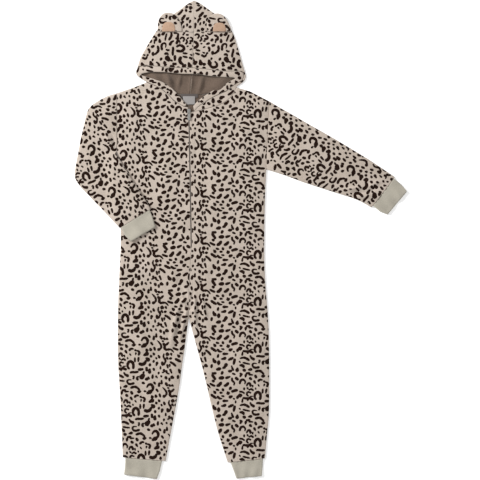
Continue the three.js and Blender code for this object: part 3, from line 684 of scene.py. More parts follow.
class Nodes:
    """A new material's nodes, with short ways to add and link them."""

    def __init__(self, name: str) -> None:
        """Starts the material.

        Args:
            name: Name of the finish.
        """
        self.made = bpy.data.materials.new(name)
        self.made.use_nodes = True
        self.tree = self.made.node_tree
        self.surface = self.tree.nodes["Principled BSDF"]
        self.place = self.tree.nodes.new("ShaderNodeTexCoord").outputs["Object"]

    def feed(self, node: bpy.types.Node, inputs: dict[str | int, object]) -> None:
        """Links sockets to a node's inputs, and sets the inputs that are given values."""
        for name, value in inputs.items():
            if isinstance(value, bpy.types.NodeSocket):
                self.tree.links.new(value, node.inputs[name])
            else:
                node.inputs[name].default_value = value

    def texture(self, kind: str, inputs: dict[str, float], bands: str = "X") -> bpy.types.NodeSocket:
        """Adds a texture laid over the piece's own place.

        Args:
            kind: "Noise" or "Wave".
            inputs: Its numbers by input name.
            bands: The way that waves run across.

        Returns:
            The socket of its strength.
        """
        node = self.tree.nodes.new("ShaderNodeTex" + kind)
        if kind == "Wave":
            node.bands_direction = bands
        self.feed(node, {**inputs, "Vector": self.place})
        return node.outputs["Fac"]

    def maths(self, operation: str, *values: object) -> bpy.types.NodeSocket:
        """The result of a maths node on sockets and numbers."""
        node = self.tree.nodes.new("ShaderNodeMath")
        node.operation = operation
        self.feed(node, dict(enumerate(values)))
        return node.outputs[0]

    def ramp(self, factor: bpy.types.NodeSocket, *stops: tuple[float, str]) -> bpy.types.NodeSocket:
        """A colour between two stops, each a place and a hex colour."""
        node = self.tree.nodes.new("ShaderNodeValToRGB")
        self.feed(node, {"Fac": factor})
        for element, (place, code) in zip(node.color_ramp.elements, stops):
            element.position = place
            element.color = linear(code)
        return node.outputs["Color"]

    def finish(self, height: bpy.types.NodeSocket, strength: float, distance: float,
               **inputs: object) -> Material:
        """Gives the surface its bump and its values.

        Args:
            height: The bump's height.
            strength: The bump's strength.
            distance: The bump's depth in metres.
            **inputs: Values and sockets by input name, underscores for spaces.

        Returns:
            The material.
        """
        bump = self.tree.nodes.new("ShaderNodeBump")
        self.feed(bump, {"Strength": strength, "Distance": distance, "Height": height})
        named = {name.replace("_", " "): value for name, value in inputs.items()}
        self.feed(self.surface, {"Normal": bump.outputs["Normal"], **named})
        return self.made


@dataclass(frozen=True)
class BrushedKnit:
    """Cotton-rich interlock, brushed to a short soft pile: matt, with a faint heather and rows of stitches.

    Args:
        name: Name of the finish.
        colour: Main colour.
        shade: Colour of the darker fibres.
        pile: Scale of the pile's clumps in millimetres.
        wale: Distance between stitch rows in millimetres.
        sheen: Strength of the pile's soft sheen.
        shine: Strength of its mirror-like part, less where ink has matted the pile.
    """

    name: str
    colour: str
    shade: str
    pile: float = 2.6
    wale: float = 2.2
    sheen: float = 0.25
    shine: float = 0.25

    def material(self) -> Material:
        """The finish as a node material."""
        nodes = Nodes(self.name)
        clumps = nodes.texture("Noise", {"Scale": 1 / (self.pile * MM), "Detail": 3.0, "Roughness": 0.6})
        broad = nodes.texture("Noise", {"Scale": 1 / (55 * MM), "Detail": 2.0})
        heather = nodes.maths("MULTIPLY_ADD", broad, 0.3, nodes.maths("MULTIPLY", clumps, 0.7))
        rows = nodes.texture(
            "Wave", {"Scale": WAVE / (self.wale * MM), "Distortion": 1.4, "Detail": 2.0, "Detail Scale": 2.5}
        )
        return nodes.finish(
            nodes.maths("MULTIPLY_ADD", rows, 0.22, clumps), 0.35, 0.0006,
            Base_Color=nodes.ramp(heather, (0.36, self.shade), (0.58, self.colour)),
            Roughness=0.93, Specular_IOR_Level=self.shine, Sheen_Weight=self.sheen, Sheen_Roughness=0.6,
        )


@dataclass(frozen=True)
class Plated:
    """Die-cast zinc, nickel plated and tumbled: bright, with soft edges and fine scuffs.

    Args:
        name: Name of the finish.
        colour: Colour of the plating.
        rough: Roughness of the tumbled surface.
    """

    name: str = "Nickel plated zinc"
    colour: str = "#c4c2be"
    rough: float = 0.3

    def material(self) -> Material:
        """The finish as a node material."""
        nodes = Nodes(self.name)
        scuffs = nodes.texture("Noise", {"Scale": 1 / (1.5 * MM), "Detail": 4.0})
        spread = nodes.tree.nodes.new("ShaderNodeMapRange")
        nodes.feed(spread, {
            "Value": scuffs, "From Min": 0.3, "From Max": 0.7,
            "To Min": self.rough - 0.07, "To Max": self.rough + 0.12,
        })
        return nodes.finish(
            scuffs, 0.15, 0.0001, Base_Color=linear(self.colour), Metallic=1.0, Roughness=spread.outputs[0]
        )


@dataclass(frozen=True)
class WovenTape:
    """Polyester tape in a fine plain weave: flat, slightly glossier than the knit.

    Args:
        name: Name of the finish.
        colour: Main colour.
        shade: Colour in the gaps of the weave.
        thread: Distance between threads in millimetres, drawn about twice as coarse as real to show.
        rough: Roughness.
    """

    name: str
    colour: str
    shade: str
    thread: float = 0.9
    rough: float = 0.7

    def material(self) -> Material:
        """The finish as a node material."""
        nodes = Nodes(self.name)
        weave = [nodes.texture("Wave", {"Scale": WAVE / (self.thread * MM)}, way) for way in ("X", "Y")]
        cross = nodes.maths("MULTIPLY", *weave)
        colour = nodes.ramp(cross, (0.0, self.shade), (0.5, self.colour))
        return nodes.finish(cross, 0.3, 0.0003, Base_Color=colour, Roughness=self.rough)


class Finishes:
    """All finishes of the garment, made once."""

    def __init__(self) -> None:
        """Makes each material."""
        ink = BrushedKnit("Brushed interlock printed brown", "#261710", "#180d08", sheen=0.0, shine=0.08)
        self.printed = (
            BrushedKnit("Brushed interlock beige ground", "#c2b4a8", "#ada092").material(),
            ink.material(),
            # The reverse is the knit's own unprinted taupe, darkened past its real colour as painted shade
            # for the shadowed inside of the hood, where the reverse shows.
            BrushedKnit("Interlock reverse taupe", "#6a594c", "#524439", wale=1.8).material(),
        )
        self.rib = BrushedKnit("Rib knit sage beige", "#b5afa1", "#a29c8e", pile=1.6, wale=3.0).material()
        self.peach = BrushedKnit("Brushed interlock peach", "#b99981", "#a88870").material()
        self.tape = WovenTape("Woven polyester tape grey", "#5f5753", "#48413e").material()
        self.label = WovenTape("Woven satin label silver", "#a7a3a1", "#8b8785", rough=0.4).material()
        self.coil = WovenTape("Nylon zip coil taupe", "#a89e96", "#8c827a", rough=0.45).material()
        self.metal = Plated().material()


@dataclass
class Layer:
    """One layer of a cloth piece, lying over its plan.

    Args:
        loop: Outline in plan, anticlockwise.
        place: Gives the outer face's points in space.
        side: Which way the printed face looks.
        grain: Turn of the print, in radians.
        start: Shift of the print.
        printed: Whether the layer has the print.
        step: Distance between the grid points that carry the folds.
        inner_step: The same for the inner face.
        creases: Folds along which the cloth has rows of points of its own.
    """

    loop: Array
    place: Place
    side: Side = Side.UP
    grain: float = 0.0
    start: tuple[float, float] = (0.0, 0.0)
    printed: bool = True
    step: float = 6.5
    inner_step: float = 14.0
    creases: Sequence[Fold] = ()

    def fill(self, step: float, rings: Sequence[float]) -> Array:
        """Points inside the outline: a staggered grid, rings beside the edge, and rows along the creases.

        Args:
            step: Distance between grid points.
            rings: Distances of the rings from the edge.

        Returns:
            The points.
        """
        low, high = self.loop.min(0), self.loop.max(0)
        xs, ys = np.arange(low[0], high[0], step), np.arange(low[1], high[1], step * 0.87)
        grid = np.array([(x + (j % 2) * step / 2 + 0.13, y + 0.17) for j, y in enumerate(ys) for x in xs])
        along = np.roll(self.loop, -1, 0) - np.roll(self.loop, 1, 0)
        along /= np.maximum(np.hypot(*along.T), 1e-9)[:, None]
        inward = np.stack([-along[:, 1], along[:, 0]], 1)
        parts = [(grid, max(rings) + step * 0.4)]
        parts += [(self.loop + inward * ring, ring * 0.85) for ring in rings]
        parts += [(points, 1.5) for fold in self.creases for points in fold.points()]
        closed = np.vstack([self.loop, self.loop[:1]])
        kept = []
        for points, clear in parts:
            points = points[inside(points, self.loop)]
            kept.append(points[polyline_distance(points, closed)[0] > clear])
        return np.vstack(kept)

    def triangles(self, outer: bool) -> tuple[Array, list[tuple[int, ...]], list[int]]:
        """The layer cut into triangles in plan.

        Args:
            outer: Whether this is the printed face, with its marks.

        Returns:
            Plan points with the outline's first, faces, and each face's finish number.
        """
        marks = PRINT.over(self.loop, self.grain, self.start) if outer and self.printed else []
        rings = (0.9, 2.4, 5.0) if outer else (3.0,)
        fill = self.fill(self.step if outer else self.inner_step, rings)
        count = len(self.loop)
        edges: list[tuple[int, int]] = []
        first = count
        for mark in marks:
            edges += [(first + k, first + (k + 1) % len(mark)) for k in range(len(mark))]
            first += len(mark)
        points = [Vector(p) for p in np.vstack([self.loop, *marks, fill])]
        outline = [list(range(count))]
        verts, _, tris, olds_of, _, within = delaunay_2d_cdt(points, edges, outline, 0, 1e-4, True)
        where = {old: new for new, olds in enumerate(olds_of) for old in olds if old < count}
        order = [where[k] for k in range(count)]
        order += sorted(set(range(len(verts))) - set(order))
        rename = {old: new for new, old in enumerate(order)}
        plan = np.array([verts[k][:] for k in order])
        plan[:count] = self.loop
        tris = [tuple(rename[k] for k in tri) for tri, ids in zip(tris, within) if ids]
        centres = plan[np.array(tris)].mean(1)
        kinds = np.full(len(tris), GROUND)
        for mark in marks:
            near = np.flatnonzero(((centres > mark.min(0)) & (centres < mark.max(0))).all(1))
            kinds[near[inside(centres[near], mark)]] = MARK
        return plan, tris, kinds.tolist()


def point_normals(points: Array, faces: list[tuple[int, ...]]) -> Array:
    """Unit normals at the points of a triangle mesh."""
    tri = np.array(faces)
    cross = np.cross(points[tri[:, 1]] - points[tri[:, 0]], points[tri[:, 2]] - points[tri[:, 0]])
    total = np.zeros_like(points)
    for k in range(3):
        np.add.at(total, tri[:, k], cross)
    return total / np.maximum(np.linalg.norm(total, axis=1), 1e-9)[:, None]


def add_object(name: str, points: Array, faces: list[tuple[int, ...]], materials: Sequence[Material],
               kinds: Sequence[int] = (), smooth: bool = True) -> bpy.types.Object:
    """Adds a mesh as an object at the origin.

    Args:
        name: Name of the piece.
        points: Its points in metres, in the row frame.
        faces: Its faces.
        materials: Its materials.
        kinds: Each face's material, unless all have the first.
        smooth: Whether it is shaded as one round surface.

    Returns:
        The object.
    """
    mesh = bpy.data.meshes.new(name)
    mesh.from_pydata(points.tolist(), [], [tuple(int(k) for k in face) for face in faces])
    for material in materials:
        mesh.materials.append(material)
    if kinds:
        mesh.polygons.foreach_set("material_index", kinds)
    mesh.polygons.foreach_set("use_smooth", [smooth] * len(mesh.polygons))
    mesh.validate()
    mesh.update()
    piece = bpy.data.objects.new(name, mesh)
    bpy.context.collection.objects.link(piece)
    return piece


def to_frame(points: Array) -> Array:
    """Points of the plan, in metres in the row frame."""
    return (points - [*PLAN_ORIGIN, 0]) * MM


@dataclass
class Cloth:
    """A cloth piece: layers of one cut, given a thickness and closed at every edge.

    Args:
        name: Name of the piece.
        layers: The layers, welded where their outlines meet in space.
        finishes: Materials of the ground, the marks and the inner face.
        thick: Thickness at a distance from the edge.
        thin_edges: Edge lines beside which the cloth is pressed thinner.
        strip: Length of the cut, if it is a strip that bends in its own plane.
        rim: Thickness at a pressed edge.
    """

    name: str
    layers: list[Layer]
    finishes: Sequence[Material]
    thick: float = KNIT
    thin_edges: Sequence[Line] = ()
    strip: float | None = None
    rim: float = 0.45

    def weld(self, points: Array, loops: list[Array]) -> tuple[Array, Array]:
        """Joins the layers' outlines where they meet, as along a fold.

        Args:
            points: Points of all layers.
            loops: Numbers of each layer's outline points.

        Returns:
            The distinct points, and each old point's number among them.
        """
        number = np.arange(len(points))
        edge = np.concatenate(loops)
        gap = np.linalg.norm(points[edge][:, None] - points[edge][None], axis=2)
        number[edge] = edge[(gap < 0.03).argmax(1)]
        kept, number = np.unique(number, return_inverse=True)
        return points[kept], number

    def face(self, outer: bool) -> tuple[Array, list[tuple[int, ...]], list[int], list[Array]]:
        """One face of all layers, welded.

        Args:
            outer: Whether it is the printed face.

        Returns:
            Its points, triangles, their finish numbers, and each layer's outline.
        """
        spaces, tris, kinds, loops, count = [], [], [], [], 0
        for layer in self.layers:
            plan, cut, kind = layer.triangles(outer)
            spaces.append(layer.place(plan))
            tris += [tuple(k + count for k in t[:: layer.side.value]) for t in cut]
            kinds += kind
            loops.append(np.arange(len(layer.loop)) + count)
            count += len(plan)
        points, at = self.weld(np.vstack(spaces), loops)
        return points, [tuple(at[list(t)]) for t in tris], kinds, [at[loop] for loop in loops]

    def build(self) -> bpy.types.Object:
        """The closed shell as an object."""
        outer_points, faces, kinds, outer_loops = self.face(True)
        inner_points, inner_faces, _, inner_loops = self.face(False)
        thick = np.full(len(inner_points), self.thick)
        for edge in self.thin_edges:
            near = dome(edge.distance(inner_points[:, :2]), 6)
            thick = np.minimum(thick, self.rim + (self.thick - self.rim) * near)
        inner_points = inner_points - point_normals(inner_points, inner_faces) * thick[:, None]
        shift = len(outer_points)
        used = {pair for t in faces for pair in zip(t, t[1:] + t[:1])}
        faces = faces + [tuple(k + shift for k in t[::-1]) for t in inner_faces]
        kinds = kinds + [REVERSE] * len(inner_faces)
        for layer, out, into in zip(self.layers, outer_loops, inner_loops):
            for a, b, c, d in zip(out, np.roll(out, -1), np.roll(into, -1) + shift, into + shift):
                if layer.side is Side.DOWN:
                    a, b, c, d = b, a, d, c
                if (a, b) in used and (b, a) not in used:
                    faces.append((d, c, b, a))
                    kinds.append(GROUND)
        points = to_frame(np.vstack([outer_points, inner_points]))
        return add_object(self.name, points, faces, self.finishes, kinds)

    def cut(self) -> tuple[tuple[float, float], float]:
        """Size of the flat cut in metres, all round, and its area in square metres."""
        area = 0.0
        for layer in self.layers:
            area += 0.5 * abs(twice_area(layer.loop))
        if self.strip is not None:
            return (area / self.strip * 1.02 * MM, self.strip * MM), area * MM * MM
        first = self.layers[0].loop
        spread = np.linalg.svd(first - first.mean(0), full_matrices=False)[2]
        across = first @ spread.T
        wide, long = sorted(across.max(0) - across.min(0))
        wide = max(wide * len(self.layers), area / long * 1.01)
        return (wide * MM, long * MM), area * MM * MM


def dress(piece: bpy.types.Object, node: str, cloth: Cloth | None = None) -> bpy.types.Object:
    """Sets a piece on its body in place of its solid.

    Args:
        piece: The finished piece.
        node: The solid that it replaces.
        cloth: The cloth that it was cut as, if it is a sheet.

    Returns:
        The piece.
    """
    body = next(name for name, held in frame["record"]["behaviour"]["bodies"].items() if node in held)
    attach(piece, body)
    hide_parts(node)
    if cloth is not None:
        flat, area = cloth.cut()
    log.info("%s: %d faces", piece.name, len(piece.data.polygons))
    return piece


class Lie:
    """How the garment lies: heights of each layer over the floor, in millimetres."""

    body_drape = Drape(
        folds(
            (-18, 486, -42, 352, 5, -4.6, 0.3), (-6, 474, -29, 372, 4.5, 4.0, 0.3),
            (-32, 474, -56, 350, 7, 3.6, 0.3), (19, 505, 28, 444, 4.5, -4.2),
            (9, 482, 20, 392, 4.5, 4.0, 0.3), (31, 502, 46, 430, 6, 3.4, 0.3), (-12, 520, 5, 486, 4, 3.2),
            (-24, 490, 4, 476, 4.5, 4.6, 0.2), (12, 492, 16, 470, 4, 3.2, 0.3),
            (-14, 469, 12, 464, 4.5, -4.6, 0.1), (12, 520, 3, 486, 3.5, -1.4),
            (-30, 508, -10, 486, 4.5, 1.2), (26, 470, 48, 430, 7, 1.0), (-58, 600, -24, 520, 12, 1.4),
            (62, 600, 26, 520, 12, 1.2), (-40, 560, -16, 508, 6, -1.1), (40, 570, 20, 510, 6, -1.0),
            (-150, 470, -118, 300, 20, 1.4), (150, 440, 172, 250, 20, 1.3), (-96, 420, -84, 250, 15, -1.0),
            (96, 400, 118, 240, 15, -1.0), (110, 880, 190, 1000, 15, 1.5), (56, 955, 150, 985, 11, -1.0),
            (150, 840, 204, 905, 9, 1.4), (140, 800, 200, 850, 10, -1.2), (-108, 240, -62, 140, 13, 1.3),
            (92, 210, 122, 100, 13, 1.3), (-178, 660, -120, 610, 12, -1.1), (192, 640, 110, 596, 12, -1.1),
            (-170, 590, -90, 560, 14, 1.0), (186, 560, 90, 540, 14, 1.0), (40, 1000, 120, 1040, 9, 1.2),
            (-30, 1000, -110, 1040, 9, 1.2), (-60, 900, -70, 720, 20, 0.9), (60, 880, 72, 680, 22, 0.9),
            (-150, 1030, -120, 950, 10, -1.0), (-16, 980, -14, 840, 6, -0.7), (16, 960, 14, 820, 6, -0.7),
        ),
        seed=3, wave=0.3,
    )
    hood_drape = Drape(
        folds(
            (11, 1215, 8, 1130, 4, -0.5), (-80, 1190, -40, 1150, 12, 0.5), (70, 1190, 60, 1140, 12, 0.5),
        ),
        seed=9, wave=0.14,
    )
    lining_drape = Drape(
        folds(
            (-68, 1114, -46, 1054, 8, 4.6), (-24, 1112, -34, 1058, 5, 2.6), (6, 1110, 0, 1050, 5, 2.4),
            (38, 1108, 20, 1042, 6, 3.6), (112, 1106, 52, 1044, 20, 4.4), (-114, 1110, -72, 1076, 9, 3.0),
        ),
        seed=5, wave=0.3, gain=1.9,
    )
    @staticmethod
    def on_floor(xy: Array) -> Array:
        """Height of the floor."""
        return np.zeros(len(xy))

    @staticmethod
    def body_under(xy: Array) -> Array:
        """Height of the front's underside."""
        right = xy[:, 0] < CENTRE.x_at(xy[:, 1])
        z = np.zeros(len(xy))
        for half, mask in ((RIGHT, right), (LEFT, ~right)):
            p = xy[mask]
            d = np.minimum(half.side.distance(p), half.inner.distance(p) + 4)
            z[mask] = BODY_LOFT * dome(np.minimum(d, half.shoulder.distance(p)))
        return LOW_EDGE + z

    @staticmethod
    def hood_under(xy: Array) -> Array:
        """Height of the hood front's underside."""
        right, left = (
            np.minimum(half.hood_side.distance(xy), half.cap.distance(xy)) for half in (RIGHT, LEFT)
        )
        return LOW_EDGE + HOOD_LOFT * dome(np.where(xy[:, 0] < 10, right, left))

    @classmethod
    def neck_under(cls, xy: Array) -> Array:
        """Height of the underside round the neck."""
        return np.minimum(cls.hood_under(xy), cls.body_under(xy))

    @classmethod
    def on_body(cls, xy: Array) -> Array:
        """Height of what lies over the front or slopes down beside it."""
        outside = RIGHT.side.x_at(xy[:, 1]) - xy[:, 0]
        reach = smoothstep((897 - xy[:, 1]) / 12)
        over = (cls.body_under(xy) + FRONT_THICK + 1.0) * reach
        beside = (LOW_EDGE + FRONT_THICK + 1.0) * reach * (1 - smoothstep((outside - 6) / 34))
        return np.where(outside <= 0, over, beside)


@dataclass
class Body:
    """The two fronts and two backs, each cut in one from shoulder to ankle.

    Args:
        finishes: The garment's finishes.
        gather_pitch: Distance between the pleats at the ankle.
        gather_rise: Height of the pleats.
        split: Half the length over which the fronts part for the zip.
    """

    finishes: Finishes
    gather_pitch: float = 8.5
    gather_rise: float = 0.9
    split: float = 8.0

    def outline(self, half: Half, front: bool) -> Array:
        """A panel's outline in plan."""
        side, inner = half.side.smooth().samples(), half.inner.smooth().samples()
        neck = (half.neck if front else half.back_neck).samples()
        y = np.arange(neck[0][1], inner[0][1], -STEP)
        y = np.unique(np.concatenate([y, [ZIP_END + self.split, ZIP_END - self.split]]))[::-1]
        gap = np.full(len(y), SEAM_GAP)
        if front:
            gap = SEAM_GAP + (ZIP_SLOT - SEAM_GAP) * smoothstep((y - ZIP_END + self.split) / (2 * self.split))
        centre = np.stack([CENTRE.x_at(y) + half.way * gap, y], 1)
        neck[0] = centre[0]
        inner[0] = [centre[-1][0], inner[0][1]]
        hem = between(side[-1], inner[-1]).samples()
        return loop_of(centre, inner, hem[::-1], side[::-1], half.shoulder.samples()[::-1], neck[::-1])

    def gathers(self, xy: Array, half: Half) -> Array:
        """Small pleats where a leg is drawn into its rib."""
        d = between(half.side.points[-1], half.inner.points[-1]).distance(xy)
        phase = xy[:, 0] * 2 * math.pi / self.gather_pitch + 1.3 * np.sin(xy[:, 0] / 9.0)
        return self.gather_rise * np.exp(-d / 13) * np.sin(phase) - 0.5 * np.exp(-d / 7)

    def front(self, half: Half) -> bpy.types.Object:
        """One front panel."""
        turned = [half.turned.smooth(), half.inner.smooth(), half.shoulder]
        edges = [(edge, Edge.TURNED) for edge in turned]
        edges += [(edge, Edge.SEWN) for edge in (half.armhole, half.neck, CENTRE)]

        def place(xy: Array) -> Array:
            under = Lie.body_under(xy)
            loft = (under - LOW_EDGE) / BODY_LOFT
            drape = Lie.body_drape.height(xy) * np.clip(2.6 * loft, 0, 1)
            loose = under - LOW_EDGE + drape + self.gathers(xy, half)
            z = LOW_EDGE + FRONT_THICK + np.maximum(loose, 0.12 * loose) - edge_drop(xy, edges)
            return np.column_stack([xy, z])

        layer = Layer(
            self.outline(half, True), place, grain=math.radians(half.front_grain), start=half.front_start,
            step=4.2, inner_step=3.4, creases=[fold for fold in Lie.body_drape.folds if fold.width < 8],
        )
        cloth = Cloth(f"front_{half.name}_cloth", [layer], self.finishes.printed, thin_edges=turned)
        return dress(cloth.build(), f"front_{half.name}", cloth)

    def back(self, half: Half) -> bpy.types.Object:
        """One back panel, printed face down."""
        turned = [half.turned.smooth(), half.inner.smooth(), half.shoulder]

        def place(xy: Array) -> Array:
            return np.column_stack([xy, 0.8 * edge_drop(xy, [(edge, Edge.TURNED) for edge in turned])])

        layer = Layer(self.outline(half, False), place, Side.DOWN, start=(30.0, -20.0), step=14.0)
        cloth = Cloth(f"back_{half.name}_cloth", [layer], self.finishes.printed, thin_edges=turned)
        return dress(cloth.build(), f"back_{half.name}", cloth)

    def build(self) -> None:
        """Makes the four panels."""
        for half in (RIGHT, LEFT):
            self.front(half)
            self.back(half)


@dataclass
class Sleeves:
    """Two sleeves, each a flattened tube: one bent over the front, one straight.

    Args:
        finishes: The garment's finishes.
        height: Height of the tube at its folds.
        loft: How far its middle stands above that.
        fold_radius: Distance over which the folds are rounded.
    """

    finishes: Finishes
    height: float = 5.4
    loft: float = 2.4
    fold_radius: float = 5.0

    def build_one(self, half: Half) -> bpy.types.Object:
        """One sleeve with its upper and lower layers."""
        out, into = half.sleeve_out.smooth(), half.sleeve_in.smooth()
        base = Lie.on_body if half is RIGHT else Lie.on_floor
        wrist = between(out.points[-1], into.points[-1])
        armhole = between(out.points[0], into.points[0])
        loop = loop_of(out.samples(), wrist.samples(), into.samples()[::-1], armhole.samples()[::-1])
        middle = self.height / 2

        def from_fold(xy: Array) -> Array:
            return np.minimum(out.distance(xy), into.distance(xy))

        def gathers(xy: Array) -> Array:
            d = wrist.distance(xy)
            across = (xy - np.array(wrist.points[0])) @ (np.diff(wrist.array(), axis=0)[0] / 100)
            return np.exp(-d / 11) * (0.8 * np.sin(across * 2 * math.pi / 9.5 + np.sin(across / 7)) - 0.5)

        def upper(xy: Array) -> Array:
            d = from_fold(xy)
            loft = self.loft * dome(d) * smoothstep(0.15 + armhole.distance(xy) / 40)
            drop = edge_drop(xy, [(armhole, Edge.SEWN), (wrist, Edge.SEWN)])
            z = base(xy) + middle + middle * quarter_round(d / self.fold_radius) + loft - drop
            drape = half.sleeve_drape.height(xy) + gathers(xy)
            return np.column_stack([xy, z + drape * smoothstep(d / 12)])

        def lower(xy: Array) -> Array:
            curve = quarter_round(from_fold(xy) / self.fold_radius)
            return np.column_stack([xy, base(xy) + middle - middle * curve])

        grain, start = math.radians(half.sleeve_grain), half.sleeve_start
        layers = [
            Layer(loop, upper, grain=grain, start=(start, 30.0), step=4.2, inner_step=3.4,
                  creases=half.sleeve_drape.folds),
            Layer(loop, lower, Side.DOWN, grain=grain, start=(start, 10.0), step=11.0),
        ]
        cloth = Cloth(f"sleeve_{half.name}_cloth", layers, self.finishes.printed)
        return dress(cloth.build(), f"sleeve_{half.name}", cloth)

    def build(self) -> None:
        """Makes both sleeves."""
        for half in (RIGHT, LEFT):
            self.build_one(half)


@dataclass
class Cuff:
    """A doubled rib cuff, a flattened tube whose ribs run from its seam to its end.

    Args:
        name: The node that it replaces.
        stations: Fold points from seam to end: one fold's x, y, then the other's.
        base: Height of what it lies on.
        finishes: The garment's finishes.
        height: Height of the flattened tube.
        rib_pitch: Distance between ribs.
        rib_depth: Height of a rib.
        wall: Thickness of the doubled rib.
        fold_radius: Distance over which the folds are rounded.
        step: Distance between points round the tube.
    """

    name: str
    stations: tuple[tuple[float, ...], ...]
    base: Height
    finishes: Finishes
    height: float = 6.2
    rib_pitch: float = 2.9
    rib_depth: float = 0.28
    wall: float = 2.0
    fold_radius: float = 4.2
    step: float = 0.72

    def ring(self, row: Array, r: float, turn: Array, wave: Array, outer: bool) -> Array:
        """One ring of points round the tube.

        Args:
            row: One fold's x, y, then the other's.
            r: Share of the way from seam to end.
            turn: Angles round the tube.
            wave: Starts of the uneven ripples.
            outer: Whether it is the outer face.

        Returns:
            The points.
        """
        f, g = row[:2], row[2:]
        wide = float(np.hypot(*(g - f)))
        c = np.cos(turn)
        s = (1 - np.sign(c) * np.abs(c) ** 0.93) / 2
        inset = 0 if outer else self.wall
        place = f + (g - f) * np.clip(s, inset / wide, 1 - inset / wide)[:, None]
        lift = quarter_round(np.minimum(s, 1 - s) * wide / self.fold_radius)
        level = np.sign(np.sin(turn)) * lift * (self.height / 2 - inset)
        ribs = self.rib_depth * np.cos(2 * math.pi * s * wide / self.rib_pitch) * (1 if outer else 0)
        top = np.sin(turn) > 0
        ripple = 1.3 * np.sin(s * 8 + wave[0] + r * 2) + 1.0 * np.sin(s * 17 + wave[1] - r * 3)
        ripple = ripple * (0.3 + 0.7 * r) + 0.5 * np.sin(r * 7 + s * 3 + wave[2])
        end_round = 0.9 * max(0, (r - 0.9) / 0.1) ** 2
        z = self.base(place) + self.height / 2 + level + np.where(top, ribs * lift + ripple - end_round, 0)
        if outer:
            z = z + np.where(top, 0, np.maximum(ribs, 0) * 0.2)
            z = np.where(top, z, np.maximum(z, self.base(place) + 0.02) + end_round * 0.6)
        return np.column_stack([place, z])

    def build(self, rings: int = 17) -> bpy.types.Object:
        """The cuff as one closed tube.

        Args:
            rings: Number of rings of points from seam to end.

        Returns:
            The object.
        """
        table = np.array(self.stations)
        at, rows = np.linspace(0, 1, len(table)), np.linspace(0, 1, rings)
        lines = np.stack([np.interp(rows, at, table[:, k]) for k in range(4)], 1)
        middle = lines[rings // 2]
        width = float(np.hypot(*(middle[2:] - middle[:2])))
        count = 2 * int(width / self.step)
        wave = np.random.default_rng(len(self.name)).uniform(0, 6.28, 3)
        turn = np.linspace(0, 2 * math.pi, count, endpoint=False)
        points = [
            self.ring(row, r, turn, wave, outer) for outer in (True, False) for r, row in zip(rows, lines)
        ]
        shift, last = count * rings, (rings - 1) * count
        faces = []
        for i in range(count):
            n = (i + 1) % count
            for k in range(0, last, count):
                a, b, c, d = k + i, k + n, k + count + n, k + count + i
                faces += [(a, b, c, d), (d + shift, c + shift, b + shift, a + shift)]
            faces += [(n, i, i + shift, n + shift), (last + i, last + n, last + n + shift, last + i + shift)]
        piece = add_object(self.name + "_rib", to_frame(np.vstack(points)), faces, [self.finishes.rib])
        turn_outward(piece.data)
        dress(piece, self.name)
        return piece


def turn_outward(mesh: bpy.types.Mesh) -> None:
    """Turns a closed mesh's faces outwards."""
    work = bmesh.new()
    work.from_mesh(mesh)
    bmesh.ops.recalc_face_normals(work, faces=work.faces)
    work.to_mesh(mesh)
    work.free()
    mesh.update()


